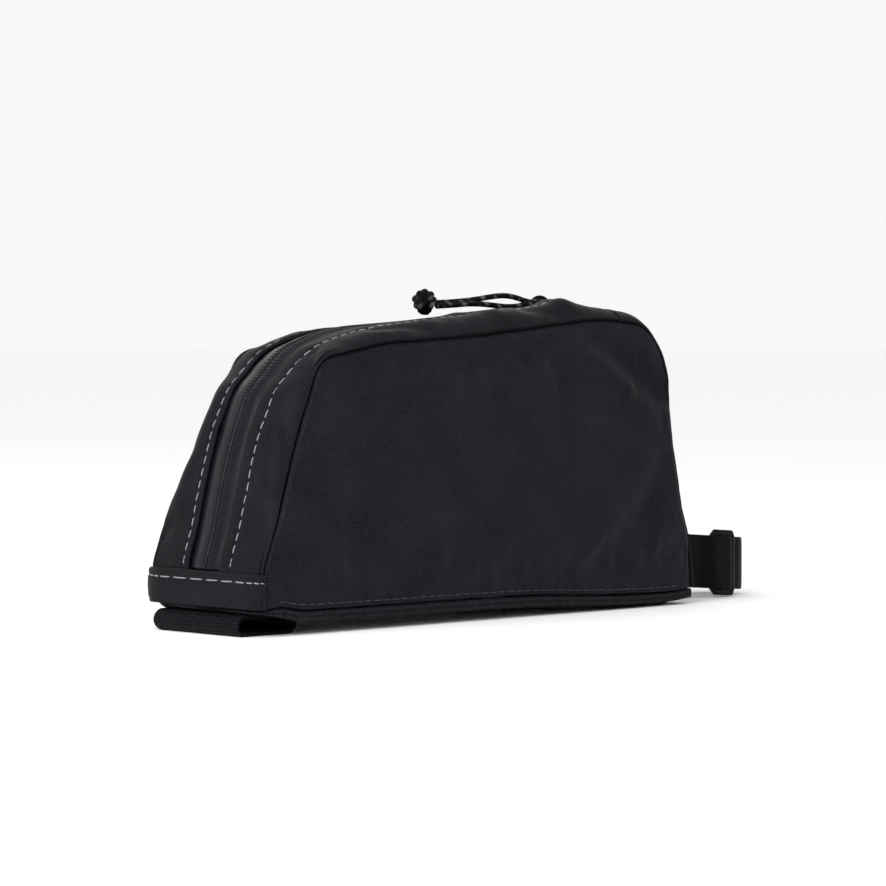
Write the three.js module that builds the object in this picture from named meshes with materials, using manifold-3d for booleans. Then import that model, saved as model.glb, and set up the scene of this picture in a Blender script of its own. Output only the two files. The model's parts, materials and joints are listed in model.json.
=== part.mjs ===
// Top tube bag: a small tapered bag that stands behind the stem of a bicycle, on the top tube.
// Units are millimetres. X runs along the bag from its low end to its tall end, +Z is up, and
// the zipper faces up and towards the low end. The bag stands on the plane z = 0.
import * as THREE from "three";
import { mergeVertices } from "three/addons/utils/BufferGeometryUtils.js";
import Module from "manifold-3d";

const wasm = await Module();
wasm.setup();

// Driving sizes of the body
const bodyLength = 212;
const bodyHeight = 106.3;
const baseWidth = 56;
const topWidth = 44;
const leftSpread = 2.8;
const shoulderWidth = 8;
const sideFullness = 3;
const sideThickness = 1.6;
const stripThickness = 1.6;
const endThickness = 1.4;
const bottomThickness = 1.8;
const seamGap = 0.35;
const crownRise = 7;
const puffHeight = 2.1;
const puffReach = 6;

// Driving sizes of the zipper and its pull
const zipOpening = 16.8;
const stitchLine = 12.4;
const tapeWidth = 26;
const tapeThickness = 0.9;
const coilWidth = 8;
const coilHeight = 1;
const runnerLength = 10;
const runnerWidth = 7;
const runnerHeight = 1.4;
const bridgeWidth = 2.4;
const bridgeHeight = 3.3;
const eyeHeight = 2.7;
const eyeLength = 5;
const cordDiameter = 2;
const knotDiameter = 9;

// Driving sizes of the trim
const bandHeight = 12;
const bandProud = 0.8;
const bindingHeight = 3.4;
const bindingThickness = 1.6;
const bindingProud = 0.2;

// Driving sizes of the straps
const sleeveWidth = 44.5;
const sleeveShift = 2.4;
const sleeveLength = 27;
const sleeveHeight = 7.4;
const sleeveWall = 1.5;
const sleeveOverhang = 3;
const strapWidth = 20;
const strapThickness = 1.5;
const strapSpread = 26;
const strapReach = 50.6;
const strapCentreHeight = 15.5;
const strapDroop = 0.076;
const glideHeight = 25;
const glideLength = 13;
const glideThickness = 2;
const glideBar = 2.6;
const glideSlotHeight = 21;
const glideFromLoopEnd = 20.5;

// Corners of the side seam, from the bottom of the low end over the top to the bottom of the
// tall end. Columns: along = share of bodyLength, up and round = the corner's height and its
// radius as shares of bodyHeight. The first and last corner stand on the binding.
const seamCorners = [
  { along: 0, up: null, round: 0 },
  { along: 0.0014, up: 0.226, round: 0.19 },
  { along: 0.149, up: 0.88, round: 0.103 },
  { along: 0.292, up: 0.924, round: 0.565 },
  { along: 0.52, up: 0.948, round: 1.13 },
  { along: 0.792, up: 1, round: 1.13 },
  { along: 0.905, up: 0.982, round: 0.15 },
  { along: 0.961, up: 0.85, round: 0.26 },
  { along: 0.9705, up: 0.36, round: 0.376 },
  { along: 0.994, up: 0.215, round: 0.376 },
  { along: 1, up: null, round: 0 },
];

// How far the top band stands off the side seam. Columns: path = share of the seam's length,
// rise = share of crownRise.
const crownRows = [
  { path: 0, rise: 0.29 },
  { path: 0.035, rise: 0.3 },
  { path: 0.065, rise: 0.36 },
  { path: 0.1, rise: 0.66 },
  { path: 0.15, rise: 1.04 },
  { path: 0.2, rise: 1.12 },
  { path: 0.218, rise: 1 },
  { path: 0.237, rise: 0.6 },
  { path: 0.256, rise: 0.32 },
  { path: 0.28, rise: 0.5 },
  { path: 0.3, rise: 0.68 },
  { path: 0.332, rise: 0.79 },
  { path: 0.364, rise: 0.86 },
  { path: 0.425, rise: 0.92 },
  { path: 0.5, rise: 1 },
  { path: 0.56, rise: 0.96 },
  { path: 0.6, rise: 0.93 },
  { path: 0.625, rise: 0.8 },
  { path: 0.66, rise: 0.66 },
  { path: 0.7, rise: 0.52 },
  { path: 0.73, rise: 0.3 },
  { path: 0.76, rise: 0.2 },
  { path: 0.9, rise: 0.22 },
  { path: 1, rise: 0.3 },
];

// How far the top band tips over to the left of the bag. Columns: path = share of the seam's
// length, tip = the left stitch line's drop below the right one, as a share of crownRise.
const tipRows = [
  { path: 0, tip: 0 },
  { path: 0.28, tip: 0 },
  { path: 0.33, tip: 0.12 },
  { path: 0.4, tip: 0.25 },
  { path: 0.48, tip: 0.25 },
  { path: 0.56, tip: 0.05 },
  { path: 0.6, tip: 0 },
  { path: 1, tip: 0 },
];

// How the bag narrows upwards. Columns: up = share of bodyHeight, taper = share of the way
// from baseWidth to topWidth.
const taperRows = [
  { up: 0, taper: 0 },
  { up: 0.15, taper: 0.02 },
  { up: 0.4, taper: 0.22 },
  { up: 0.565, taper: 0.68 },
  { up: 0.725, taper: 0.93 },
  { up: 1, taper: 1 },
];

// The underside. Columns: along = share of bodyLength, rim = height of the binding's lower
// edge, middle = height of the bottom panel on the centre line, both as shares of sleeveHeight.
const undersideRows = [
  { along: 0, rim: 1.045, middle: 1.2 },
  { along: 0.04, rim: 0.84, middle: 1.08 },
  { along: 0.08, rim: 0.63, middle: 1.06 },
  { along: 0.13, rim: 0.6, middle: 1.06 },
  { along: 0.25, rim: 0.56, middle: 0.66 },
  { along: 0.4, rim: 0.55, middle: 0.5 },
  { along: 0.6, rim: 0.5, middle: 0.38 },
  { along: 0.75, rim: 0.3, middle: 0.12 },
  { along: 0.84, rim: 0.22, middle: -0.06 },
  { along: 0.95, rim: 0.2, middle: -0.06 },
  { along: 1, rim: 0.33, middle: 0.5 },
];

// How tall the binding stands. It is folded flat where it turns round the low end. Columns:
// along = share of bodyLength, tall = share of bindingHeight.
const bindingRows = [
  { along: 0, tall: 0.35 },
  { along: 0.045, tall: 1 },
  { along: 1, tall: 1 },
];

// Soft dents in the side panels near the tall end. Columns: fromAlong, fromUp, toAlong and
// toUp = shares of bodyLength and bodyHeight, width = mm to each side, depth = share of
// sideFullness.
const dentRows = [
  { fromAlong: 0.77, fromUp: 0.95, toAlong: 0.93, toUp: 0.72, width: 9, depth: 0.5 },
  { fromAlong: 0.93, fromUp: 0.52, toAlong: 0.86, toUp: 0.4, width: 8, depth: 0.3 },
];

// Shares along the seam's length where the pieces of the top band meet
const frontCorner = 0.25;
const rearCorner = 0.725;
const panelJoint = 0.672;
const runnerShare = 0.619;
const puffShare = 0.606;

// Grid counts
const stripColumns = 54;
const crossRows = 6;
const capColumns = 22;
const capRows = 14;
const rimColumns = 26;
const rimCorner = 4;
const sideColumns = 30;
const sideRows = 12;

// The route of each strand of the pull cord, from the middle of the bridge's eye to the knot,
// as steps in mm along X, Y and Z from that eye. The points are chosen by hand.
const upperStrand = [
  [0, 0.35, 0],
  [-0.2, 1.7, 0],
  [-1.7, 3.1, 0.3],
  [-4.2, 3.7, 0.8],
  [-8, 3.2, 1.6],
  [-12.5, 2.3, 2.3],
  [-18, 1.6, 2.6],
  [-24, 1.1, 2.2],
  [-30, 1, 1.5],
  [-37, 1, 0.8],
  [-44, 1, 0.35],
  [-50, 1, 0.1],
  [-53.6, 1, 0],
];
const lowerStrand = [
  [0, -0.35, 0],
  [-0.2, -1.7, 0],
  [-1.7, -3.1, 0.25],
  [-4.2, -3.7, 0.4],
  [-8, -3.2, 0.1],
  [-12.5, -2.3, -1],
  [-18, -1.6, -1.4],
  [-24, -1.1, -1],
  [-30, -1, -0.5],
  [-37, -1, -0.35],
  [-44, -1, -0.7],
  [-50, -1, -1],
  [-53.5, -1, -1.15],
];
const knotFromEye = [-58.5, 0, -0.05];

// A function that runs smoothly through the rows of a table.
function curveThrough(rows, key, value) {
  const slopes = rows.map((row, i) => {
    const before = rows[Math.max(i - 1, 0)];
    const after = rows[Math.min(i + 1, rows.length - 1)];
    return (after[value] - before[value]) / (after[key] - before[key]);
  });
  return (at) => {
    let i = 0;
    while (i < rows.length - 2 && at > rows[i + 1][key]) {
      i += 1;
    }
    const span = rows[i + 1][key] - rows[i][key];
    const t = THREE.MathUtils.clamp((at - rows[i][key]) / span, 0, 1);
    const start = (1 + 2 * t) * (1 - t) ** 2 * rows[i][value];
    const end = t * t * (3 - 2 * t) * rows[i + 1][value];
    const leave = t * (1 - t) ** 2 * span * slopes[i];
    const arrive = t * t * (t - 1) * span * slopes[i + 1];
    return start + end + leave + arrive;
  };
}

const crownShare = curveThrough(crownRows, "path", "rise");
const tipShare = curveThrough(tipRows, "path", "tip");
const taperShare = curveThrough(taperRows, "up", "taper");
const rimShare = curveThrough(undersideRows, "along", "rim");
const middleShare = curveThrough(undersideRows, "along", "middle");
const bindingShare = curveThrough(bindingRows, "along", "tall");

const riseAt = (path) => crownShare(path) * crownRise;
const rimAt = (x) => rimShare(x / bodyLength) * sleeveHeight;
const middleAt = (x) => middleShare(x / bodyLength) * sleeveHeight;
const bindingAt = (x) => bindingShare(x / bodyLength) * bindingHeight;
const footAt = (x) => rimAt(x) + bindingAt(x) + seamGap;

// The bag's width at a height, from its middle plane to one side: 1 is the left side, which
// spreads a little further at the foot, and -1 the right.
function halfWidthAt(z, side) {
  const taper = taperShare(z / bodyHeight);
  const spread = side > 0 ? leftSpread * (1 - taper) : 0;
  return (baseWidth - (baseWidth - topWidth) * taper) / 2 + spread;
}

// A path in the XZ plane through corners that are rounded by curves.
function roundedPath(corners) {
  const points = corners.map((corner) => new THREE.Vector2(corner.x, corner.z));
  const path = new THREE.Path();
  path.moveTo(points[0].x, points[0].y);
  for (let i = 1; i < points.length - 1; i += 1) {
    const back = points[i - 1].clone().sub(points[i]);
    const ahead = points[i + 1].clone().sub(points[i]);
    const turn = Math.PI - Math.abs(back.angleTo(ahead));
    const room = 0.48 * Math.min(back.length(), ahead.length());
    const reach = Math.min(corners[i].round * Math.tan(turn / 2), room);
    const enter = points[i].clone().addScaledVector(back.normalize(), reach);
    const leave = points[i].clone().addScaledVector(ahead.normalize(), reach);
    path.lineTo(enter.x, enter.y);
    path.quadraticCurveTo(points[i].x, points[i].y, leave.x, leave.y);
  }
  path.lineTo(points.at(-1).x, points.at(-1).y);
  return path;
}

const seamPath = roundedPath(
  seamCorners.map((corner) => {
    const x = corner.along * bodyLength;
    const z = corner.up === null ? footAt(x) : corner.up * bodyHeight;
    return { x, z, round: corner.round * bodyHeight };
  }),
);

// The seam's place and outward direction at a share of its length.
function seamAt(share) {
  const step = 0.004;
  const here = seamPath.getPoint(share);
  const behind = seamPath.getPoint(Math.max(share - step, 0));
  const ahead = seamPath.getPoint(Math.min(share + step, 1));
  const along = ahead.sub(behind).normalize();
  return { x: here.x, z: here.y, outX: -along.y, outZ: along.x };
}

// The share of the seam's length where it passes a distance along X, on the top.
function shareAtX(x) {
  let low = frontCorner;
  let high = rearCorner;
  for (let i = 0; i < 30; i += 1) {
    const middle = (low + high) / 2;
    if (seamAt(middle).x < x) {
      low = middle;
    } else {
      high = middle;
    }
  }
  return low;
}

// A geometry with shared vertices and its faces pointing out.
function closed(geometry) {
  geometry.deleteAttribute("normal");
  geometry.deleteAttribute("uv");
  const merged = mergeVertices(geometry, 1e-4);
  const place = merged.attributes.position;
  const order = merged.index.array;
  const corners = [new THREE.Vector3(), new THREE.Vector3(), new THREE.Vector3()];
  let volume = 0;
  for (let i = 0; i < order.length; i += 3) {
    corners.forEach((corner, k) => corner.fromBufferAttribute(place, order[i + k]));
    volume += corners[0].dot(corners[1].cross(corners[2]));
  }
  if (volume < 0) {
    for (let i = 0; i < order.length; i += 3) {
      [order[i], order[i + 1]] = [order[i + 1], order[i]];
    }
  }
  merged.computeVertexNormals();
  return merged;
}

// A geometry with each of its points moved by a function of that point.
function moved(geometry, place) {
  const points = geometry.attributes.position;
  const point = new THREE.Vector3();
  for (let i = 0; i < points.count; i += 1) {
    point.fromBufferAttribute(points, i);
    points.setXYZ(i, ...place(point));
  }
  return geometry;
}

// A bent sheet: a box of unit size whose points go where a function of three shares sends
// them. The third share runs through the sheet's thickness.
function sheet(columns, rows, place) {
  const flat = new THREE.BoxGeometry(1, 1, 1, columns, rows, 1);
  return closed(moved(flat, (p) => place(p.x + 0.5, p.y + 0.5, p.z + 0.5)));
}

// How far the top band drops at a distance from the centre line, because it tips to the left.
function tipAt(share, y) {
  return tipShare(share) * crownRise * (0.5 + y / (2 * stitchLine));
}

// A point of the band that wraps over the top of the bag. The band runs flat from the centre
// line to the shoulders, and then rounds down to the seams. `across` is 0 at `inner` from
// the centre line and 1 at the seam, `side` is 1 or -1, and `depth` is measured inwards.
function wrapPoint(share, across, side, depth, inner = 0, puff = 0) {
  const flatShare = 0.4;
  const seam = seamAt(share);
  const flatHalf = halfWidthAt(seam.z, side) - shoulderWidth;
  const angle = (Math.max(across - flatShare, 0) / (1 - flatShare)) * (Math.PI / 2);
  const flat = THREE.MathUtils.lerp(inner, flatHalf, Math.min(across / flatShare, 1));
  const y = side * (flat + (shoulderWidth - depth) * Math.sin(angle));
  const lift = (riseAt(share) + puff - tipAt(share, y) - depth) * Math.cos(angle);
  return [seam.x + lift * seam.outX, y, seam.z + lift * seam.outZ];
}

// A point on the flat middle of the top band, at a distance across and a depth.
function crownPoint(share, y, depth) {
  const seam = seamAt(share);
  const lift = riseAt(share) - tipAt(share, y) - depth;
  return [seam.x + lift * seam.outX, y, seam.z + lift * seam.outZ];
}

// How far a share lies between two others.
const between = (from, to, t) => THREE.MathUtils.lerp(from, to, t);

const seamLength = seamPath.getLength();
const gapShare = seamGap / seamLength;
const bandTop = bandHeight / seamLength;
const stripStart = bandTop + gapShare;
const stripEnd = panelJoint - gapShare;

// The shares where the strips, the tape and the coil all have their cross sections
const stations = Array.from({ length: stripColumns + 1 }, (_, i) =>
  between(stripStart, stripEnd, i / stripColumns),
);

// How far the strips puff up beside the zipper's slider.
function puffAt(share) {
  const away = ((share - puffShare) * seamLength) / puffReach;
  return puffHeight * Math.exp(-away * away);
}

function stripGeometry(side) {
  return sheet(stripColumns, crossRows, (u, v, w) => {
    const share = stations[Math.round(u * stripColumns)];
    const depth = w * stripThickness;
    return wrapPoint(share, v, side, depth, zipOpening / 2, puffAt(share));
  });
}

const tapeDepth = stripThickness + seamGap;

function tapeGeometry() {
  return sheet(stripColumns, 2, (u, v, w) => {
    const share = stations[Math.round(u * stripColumns)];
    const y = (v - 0.5) * tapeWidth;
    return crownPoint(share, y, tapeDepth + w * tapeThickness);
  });
}

const coilDepth = tapeDepth - seamGap - coilHeight;
const runnerX = seamAt(runnerShare).x;
const coilLimit = shareAtX(runnerX - runnerLength / 2 - seamGap);
const coilColumns = stations.filter((share) => share < coilLimit).length - 1;

function coilGeometry() {
  const edgeDrop = 0.35;
  return sheet(coilColumns, 2, (u, v, w) => {
    const share = stations[Math.round(u * coilColumns)];
    const y = (v - 0.5) * coilWidth;
    const drop = edgeDrop * (2 * v - 1) ** 2;
    const depth = between(coilDepth + drop, coilDepth + coilHeight, w);
    return crownPoint(share, y, depth);
  });
}

function tallEndGeometry() {
  return sheet(capColumns, capRows, (u, v, w) => {
    const side = v < 0.5 ? -1 : 1;
    const share = between(panelJoint, 1, u);
    return wrapPoint(share, Math.abs(2 * v - 1), side, w * endThickness);
  });
}

function endBandGeometry() {
  return sheet(3, capRows, (u, v, w) => {
    const side = v < 0.5 ? -1 : 1;
    const depth = w * (endThickness + bandProud) - bandProud;
    return wrapPoint(u * bandTop, Math.abs(2 * v - 1), side, depth);
  });
}

// How far a side panel stands out at a place in its plane, without its dents.
function fullnessAt(u, v) {
  const swell = 0.6;
  return sideFullness * (Math.sin(Math.PI * u) * Math.sin(Math.PI * v)) ** swell;
}

// How deep the dents are at a place in a side panel's plane.
function dentAt(x, z) {
  const line = new THREE.Line3();
  const point = new THREE.Vector3(x, z, 0);
  const nearest = new THREE.Vector3();
  let depth = 0;
  for (const row of dentRows) {
    line.start.set(row.fromAlong * bodyLength, row.fromUp * bodyHeight, 0);
    line.end.set(row.toAlong * bodyLength, row.toUp * bodyHeight, 0);
    line.closestPointToPoint(point, true, nearest);
    const away = nearest.distanceTo(point) / row.width;
    depth += row.depth * sideFullness * Math.exp(-away * away);
  }
  return depth;
}

// The side panel's edge, just inside the seam.
function panelEdge(share) {
  const seam = seamAt(share);
  return new THREE.Vector2(seam.x - seamGap * seam.outX, seam.z - seamGap * seam.outZ);
}

// The side panel's lower edge, on the binding.
function panelFoot(t) {
  const x = between(panelEdge(0).x, panelEdge(1).x, t);
  return new THREE.Vector2(x, footAt(x));
}

// A place in a side panel's plane, blended from its four edges.
function panelPlace(u, v) {
  const low = panelEdge(between(0, frontCorner, v));
  const high = panelEdge(between(1, rearCorner, v));
  const top = panelEdge(between(frontCorner, rearCorner, u));
  const foot = panelFoot(u);
  const place = new THREE.Vector2();
  place.addScaledVector(foot, 1 - v).addScaledVector(top, v);
  place.addScaledVector(low, 1 - u).addScaledVector(high, u);
  place.addScaledVector(panelFoot(0), -(1 - u) * (1 - v));
  place.addScaledVector(panelFoot(1), -u * (1 - v));
  place.addScaledVector(panelEdge(frontCorner), -(1 - u) * v);
  place.addScaledVector(panelEdge(rearCorner), -u * v);
  return place;
}

function sidePanelGeometry(side) {
  return sheet(sideColumns, sideRows, (u, v, w) => {
    const place = panelPlace(u, v);
    const edge = Math.min(1, 8 * u, 8 * (1 - u), 8 * v, 8 * (1 - v));
    const fullness = fullnessAt(u, v) - dentAt(place.x, place.y) * edge;
    const y = halfWidthAt(place.y, side) + fullness - w * sideThickness;
    return [place.x, side * y, place.y];
  });
}

const lowEnd = seamAt(0);
const tallEnd = seamAt(1);
const lowFaceX = lowEnd.x - riseAt(0);

// The bag's plan at a distance along X, from its middle plane to one side, with its rounded
// corners.
function planHalf(x, inset, side) {
  const beyondLow = (lowEnd.x - x) / (riseAt(0) - inset);
  const beyondTall = (x - tallEnd.x) / (riseAt(1) - inset);
  const beyond = THREE.MathUtils.clamp(Math.max(beyondLow, beyondTall, 0), 0, 1);
  const flatHalf = halfWidthAt(0, side) - shoulderWidth;
  return flatHalf + (shoulderWidth - inset) * Math.sqrt(1 - beyond * beyond);
}

// The places along X of the plan's cross sections, closer together at its rounded ends.
function planSections(inset) {
  const xs = [];
  for (let i = rimCorner; i > 0; i -= 1) {
    const beyond = Math.sin((i / rimCorner) * (Math.PI / 2));
    xs.push(lowEnd.x - (riseAt(0) - inset) * beyond);
  }
  for (let i = 0; i <= rimColumns; i += 1) {
    xs.push(between(lowEnd.x, tallEnd.x, i / rimColumns));
  }
  for (let i = 1; i <= rimCorner; i += 1) {
    const beyond = Math.sin((i / rimCorner) * (Math.PI / 2));
    xs.push(tallEnd.x + (riseAt(1) - inset) * beyond);
  }
  return xs;
}

// The outline of the bag's plan, once round.
function planOutline(inset) {
  const xs = planSections(inset);
  const near = xs.map((x) => new THREE.Vector2(x, -planHalf(x, inset, -1)));
  const far = xs.map((x) => new THREE.Vector2(x, planHalf(x, inset, 1))).reverse();
  return [...near, ...far];
}

// A closed rail of square section: a torus of four sides whose points go where a function
// of their step round the rail and their corner of the section sends them.
function rail(count, place) {
  const ring = new THREE.TorusGeometry(2, 1, 4, count);
  return closed(
    moved(ring, (p) => {
      const around = Math.atan2(p.y, p.x) / (2 * Math.PI) + 1;
      const tilt = Math.atan2(p.z, Math.hypot(p.x, p.y) - 2) / (Math.PI / 2) + 4;
      return place(Math.round(around * count) % count, Math.round(tilt) % 4);
    }),
  );
}

function bindingGeometry() {
  const outer = planOutline(-bindingProud);
  const inner = planOutline(bindingThickness - bindingProud);
  return rail(outer.length, (step, corner) => {
    const point = corner < 2 ? outer[step] : inner[step];
    const top = corner === 1 || corner === 2 ? bindingAt(point.x) : 0;
    return [point.x, point.y, rimAt(point.x) + top];
  });
}

// How far to each side the bottom panel lies flat, on the sleeve or on its resting patch.
const flatTo = (side) => sleeveWidth / 2 + side * sleeveShift + 2 * seamGap;

// The height of the bottom panel's underside: flat in the middle, and then out to the binding.
function undersideAt(x, y) {
  const rimLift = 1.2;
  const side = Math.sign(y);
  const edge = halfWidthAt(0, side) - bindingThickness - seamGap;
  const t = THREE.MathUtils.smoothstep(Math.abs(y), flatTo(side), edge);
  return Math.max(between(middleAt(x), rimAt(x) + rimLift, t), 0);
}

function bottomPanelGeometry() {
  const sections = planSections(bindingThickness + seamGap);
  const last = sections.length - 1;
  return sheet(last, 6, (u, v, w) => {
    const x = sections[Math.round(u * last)];
    const side = v < 0.5 ? -1 : 1;
    const half = planHalf(x, bindingThickness + seamGap, side);
    const flat = Math.min(flatTo(side), 0.85 * half);
    const out = Math.abs(6 * v - 3);
    const away = out < 1 ? out * flat : between(flat, half, (out - 1) / 2);
    const y = side * away;
    return [x, y, undersideAt(x, y) + w * bottomThickness];
  });
}

// A flattened loop of webbing, open to both sides of the bag.
function sleeveGeometry() {
  const outline = (inset) => {
    const half = sleeveHeight / 2 - inset;
    const run = sleeveLength / 2 - sleeveHeight / 2;
    const loop = new THREE.Path();
    loop.moveTo(-run, -half);
    loop.lineTo(run, -half);
    loop.absarc(run, 0, half, -Math.PI / 2, Math.PI / 2, false);
    loop.lineTo(-run, half);
    loop.absarc(-run, 0, half, Math.PI / 2, Math.PI * 1.5, false);
    return loop.getPoints(5);
  };
  const ring = new THREE.Shape(outline(0));
  ring.holes.push(new THREE.Path(outline(sleeveWall)));
  const options = { depth: sleeveWidth, bevelEnabled: false, curveSegments: 5 };
  const loop = new THREE.ExtrudeGeometry(ring, options);
  loop.rotateX(Math.PI / 2);
  const middleX = lowFaceX - sleeveOverhang + sleeveLength / 2;
  loop.translate(middleX, sleeveWidth / 2 + sleeveShift, sleeveHeight / 2);
  return closed(loop);
}

// The face of the tall end where the strap leaves it.
const strapRootX = Math.max(
  ...[0.78, 0.84, 0.88, 0.92, 0.96, 1].map((share) => crownPoint(share, 0, 0)[0]),
) + seamGap + bindingProud;
const strapEndX = strapRootX + strapReach;
const glideX = strapEndX - glideFromLoopEnd;
const strapCentreAt = (x) => strapCentreHeight - strapDroop * (x - strapRootX);

const glideSlot = (glideLength - 3 * glideBar) / 2;

// The strap's centre line in plan, from the near root round the loop to the far root. Near
// the glide it passes outside the first two bars and inside the last.
function strapRoute() {
  const half = strapSpread / 2;
  const sideStep = (glideThickness + strapThickness) / 2 + seamGap;
  const out = -half - sideStep;
  const inner = -half + sideStep;
  const glideEnd = glideX + glideLength / 2;
  const slotX = glideEnd - glideBar - glideSlot / 2;
  const round = half - sideStep;
  const points = [
    [strapRootX, -half],
    [glideX - glideLength, -half],
    [glideX - glideLength / 2 - seamGap, out],
    [slotX, out],
    [slotX, inner],
  ];
  const turnX = strapEndX - strapThickness / 2 - round;
  const arcSteps = 10;
  for (let i = 0; i <= arcSteps; i += 1) {
    const angle = (i / arcSteps) * Math.PI;
    const across = -Math.cos(angle) * (i <= arcSteps / 2 ? round : half);
    points.push([turnX + round * Math.sin(angle), across]);
  }
  points.push([strapRootX, half]);
  return points.map(([x, y]) => new THREE.Vector2(x, y));
}

// A ribbon's outline in plan: its centre line, thickened to both sides.
function ribbonOutline(route, thickness) {
  const sides = route.map((point, i) => {
    const arrive = point.clone().sub(route[Math.max(i - 1, 0)]).normalize();
    const leave = route[Math.min(i + 1, route.length - 1)].clone().sub(point).normalize();
    const along = arrive.clone().add(leave).normalize();
    const mitre = along.dot(i === 0 ? leave : arrive);
    return new THREE.Vector2(-along.y, along.x).multiplyScalar(thickness / 2 / mitre);
  });
  const left = route.map((point, i) => point.clone().add(sides[i]));
  const right = route.map((point, i) => point.clone().sub(sides[i])).reverse();
  return [...left, ...right];
}

function strapGeometry() {
  const outline = new THREE.Shape(ribbonOutline(strapRoute(), strapThickness));
  const options = { depth: strapWidth, bevelEnabled: false };
  const ribbon = new THREE.ExtrudeGeometry(outline, options);
  return closed(
    moved(ribbon, (p) => [p.x, p.y, p.z - strapWidth / 2 + strapCentreAt(p.x)]),
  );
}

// A slot with bowed ends, as a closed path.
function slotPath(left, right, half, bow) {
  const middle = (left + right) / 2;
  const path = new THREE.Path();
  path.moveTo(left, -half);
  path.lineTo(middle, -half - bow);
  path.lineTo(right, -half);
  path.lineTo(right, half);
  path.lineTo(middle, half + bow);
  path.lineTo(left, half);
  return path;
}

// The three-bar plastic slider, a flat plate with two slots, upright beside the strap.
function glideGeometry() {
  const ear = 1.6;
  const half = glideLength / 2;
  const tall = glideHeight / 2;
  const plate = new THREE.Shape();
  plate.moveTo(-half, -tall + ear);
  plate.lineTo(-half + ear, -tall);
  plate.lineTo(half - ear, -tall);
  plate.lineTo(half, -tall + ear);
  plate.lineTo(half, tall - ear);
  plate.lineTo(half - ear, tall);
  plate.lineTo(-half + ear, tall);
  plate.lineTo(-half, tall - ear);
  const bow = 0.4;
  const slotHalf = glideSlotHeight / 2 - bow;
  for (const start of [-half + glideBar, half - glideBar - glideSlot]) {
    plate.holes.push(slotPath(start, start + glideSlot, slotHalf, bow));
  }
  const options = { depth: glideThickness, bevelEnabled: false };
  const geometry = new THREE.ExtrudeGeometry(plate, options);
  geometry.rotateX(Math.PI / 2);
  geometry.translate(glideX, -strapSpread / 2 + glideThickness / 2, 0);
  return closed(moved(geometry, (p) => [p.x, p.y, p.z + strapCentreAt(p.x)]));
}

// A three.js geometry as a manifold-3d solid, and back.
function solidFrom(geometry) {
  const ready = closed(geometry);
  return new wasm.Manifold(
    new wasm.Mesh({
      numProp: 3,
      vertProperties: ready.attributes.position.array,
      triVerts: new Uint32Array(ready.index.array),
    }),
  );
}

function geometryFrom(solid) {
  const mesh = solid.getMesh();
  const geometry = new THREE.BufferGeometry();
  geometry.setAttribute("position", new THREE.BufferAttribute(mesh.vertProperties, 3));
  geometry.setIndex(new THREE.BufferAttribute(mesh.triVerts, 1));
  geometry.computeVertexNormals();
  return geometry;
}

// The zipper slider's place: it stands above the coil's line, on the tape, and leans with it.
const runnerReach = runnerLength / 2 / seamLength;
const runnerBack = crownPoint(runnerShare - runnerReach, 0, tapeDepth);
const runnerAhead = crownPoint(runnerShare + runnerReach, 0, tapeDepth);
const runnerTilt = Math.atan2(runnerAhead[2] - runnerBack[2], runnerAhead[0] - runnerBack[0]);
const runnerFoot = crownPoint(runnerShare, 0, tapeDepth - seamGap);
const eyeFoot = runnerHeight + eyeHeight / 2;

function runnerGeometry() {
  const half = runnerLength / 2;
  const plate = new THREE.Shape();
  plate.moveTo(-half, 0);
  plate.lineTo(half, 0);
  plate.lineTo(half, runnerHeight * 0.6);
  plate.lineTo(half - runnerHeight * 0.4, runnerHeight);
  plate.lineTo(-half + runnerHeight * 0.4, runnerHeight);
  plate.lineTo(-half, runnerHeight * 0.6);
  const plateOptions = { depth: runnerWidth, bevelEnabled: false };
  const base = new THREE.ExtrudeGeometry(plate, plateOptions);
  base.translate(0, 0, -runnerWidth / 2);

  const arch = new THREE.Shape();
  const sink = 0.3;
  const halfArch = half - runnerHeight * 0.6;
  const topHeight = runnerHeight + bridgeHeight;
  arch.moveTo(-halfArch, runnerHeight - sink);
  arch.lineTo(halfArch, runnerHeight - sink);
  arch.quadraticCurveTo(halfArch, topHeight, 0, topHeight);
  arch.quadraticCurveTo(-halfArch, topHeight, -halfArch, runnerHeight - sink);
  const eye = new THREE.Path();
  const round = eyeHeight / 2;
  const run = eyeLength / 2 - round;
  eye.moveTo(-run, eyeFoot - round);
  eye.lineTo(run, eyeFoot - round);
  eye.absarc(run, eyeFoot, round, -Math.PI / 2, Math.PI / 2, false);
  eye.lineTo(-run, eyeFoot + round);
  eye.absarc(-run, eyeFoot, round, Math.PI / 2, Math.PI * 1.5, false);
  arch.holes.push(eye);
  const bridgeOptions = { depth: bridgeWidth, bevelEnabled: false, curveSegments: 6 };
  const bridge = new THREE.ExtrudeGeometry(arch, bridgeOptions);
  bridge.translate(0, 0, -bridgeWidth / 2);

  const runner = geometryFrom(solidFrom(base).add(solidFrom(bridge)));
  runner.rotateX(Math.PI / 2);
  return closed(runner);
}

const cosTilt = Math.cos(runnerTilt);
const sinTilt = Math.sin(runnerTilt);
const eyePlace = new THREE.Vector3(
  runnerFoot[0] - sinTilt * eyeFoot,
  0,
  runnerFoot[2] + cosTilt * eyeFoot,
);

const fromEye = (step) => new THREE.Vector3(...step).add(eyePlace);

function strandGeometry(steps) {
  const route = new THREE.CatmullRomCurve3(steps.map(fromEye), false, "centripetal");
  const sides = 8;
  const round = new THREE.Shape();
  for (let i = 0; i < sides; i += 1) {
    const angle = (i / sides) * Math.PI * 2;
    const x = (cordDiameter / 2) * Math.cos(angle);
    const y = (cordDiameter / 2) * Math.sin(angle);
    if (i === 0) {
      round.moveTo(x, y);
    } else {
      round.lineTo(x, y);
    }
  }
  const options = { steps: 14, bevelEnabled: false, extrudePath: route };
  return closed(new THREE.ExtrudeGeometry(round, options));
}

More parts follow.
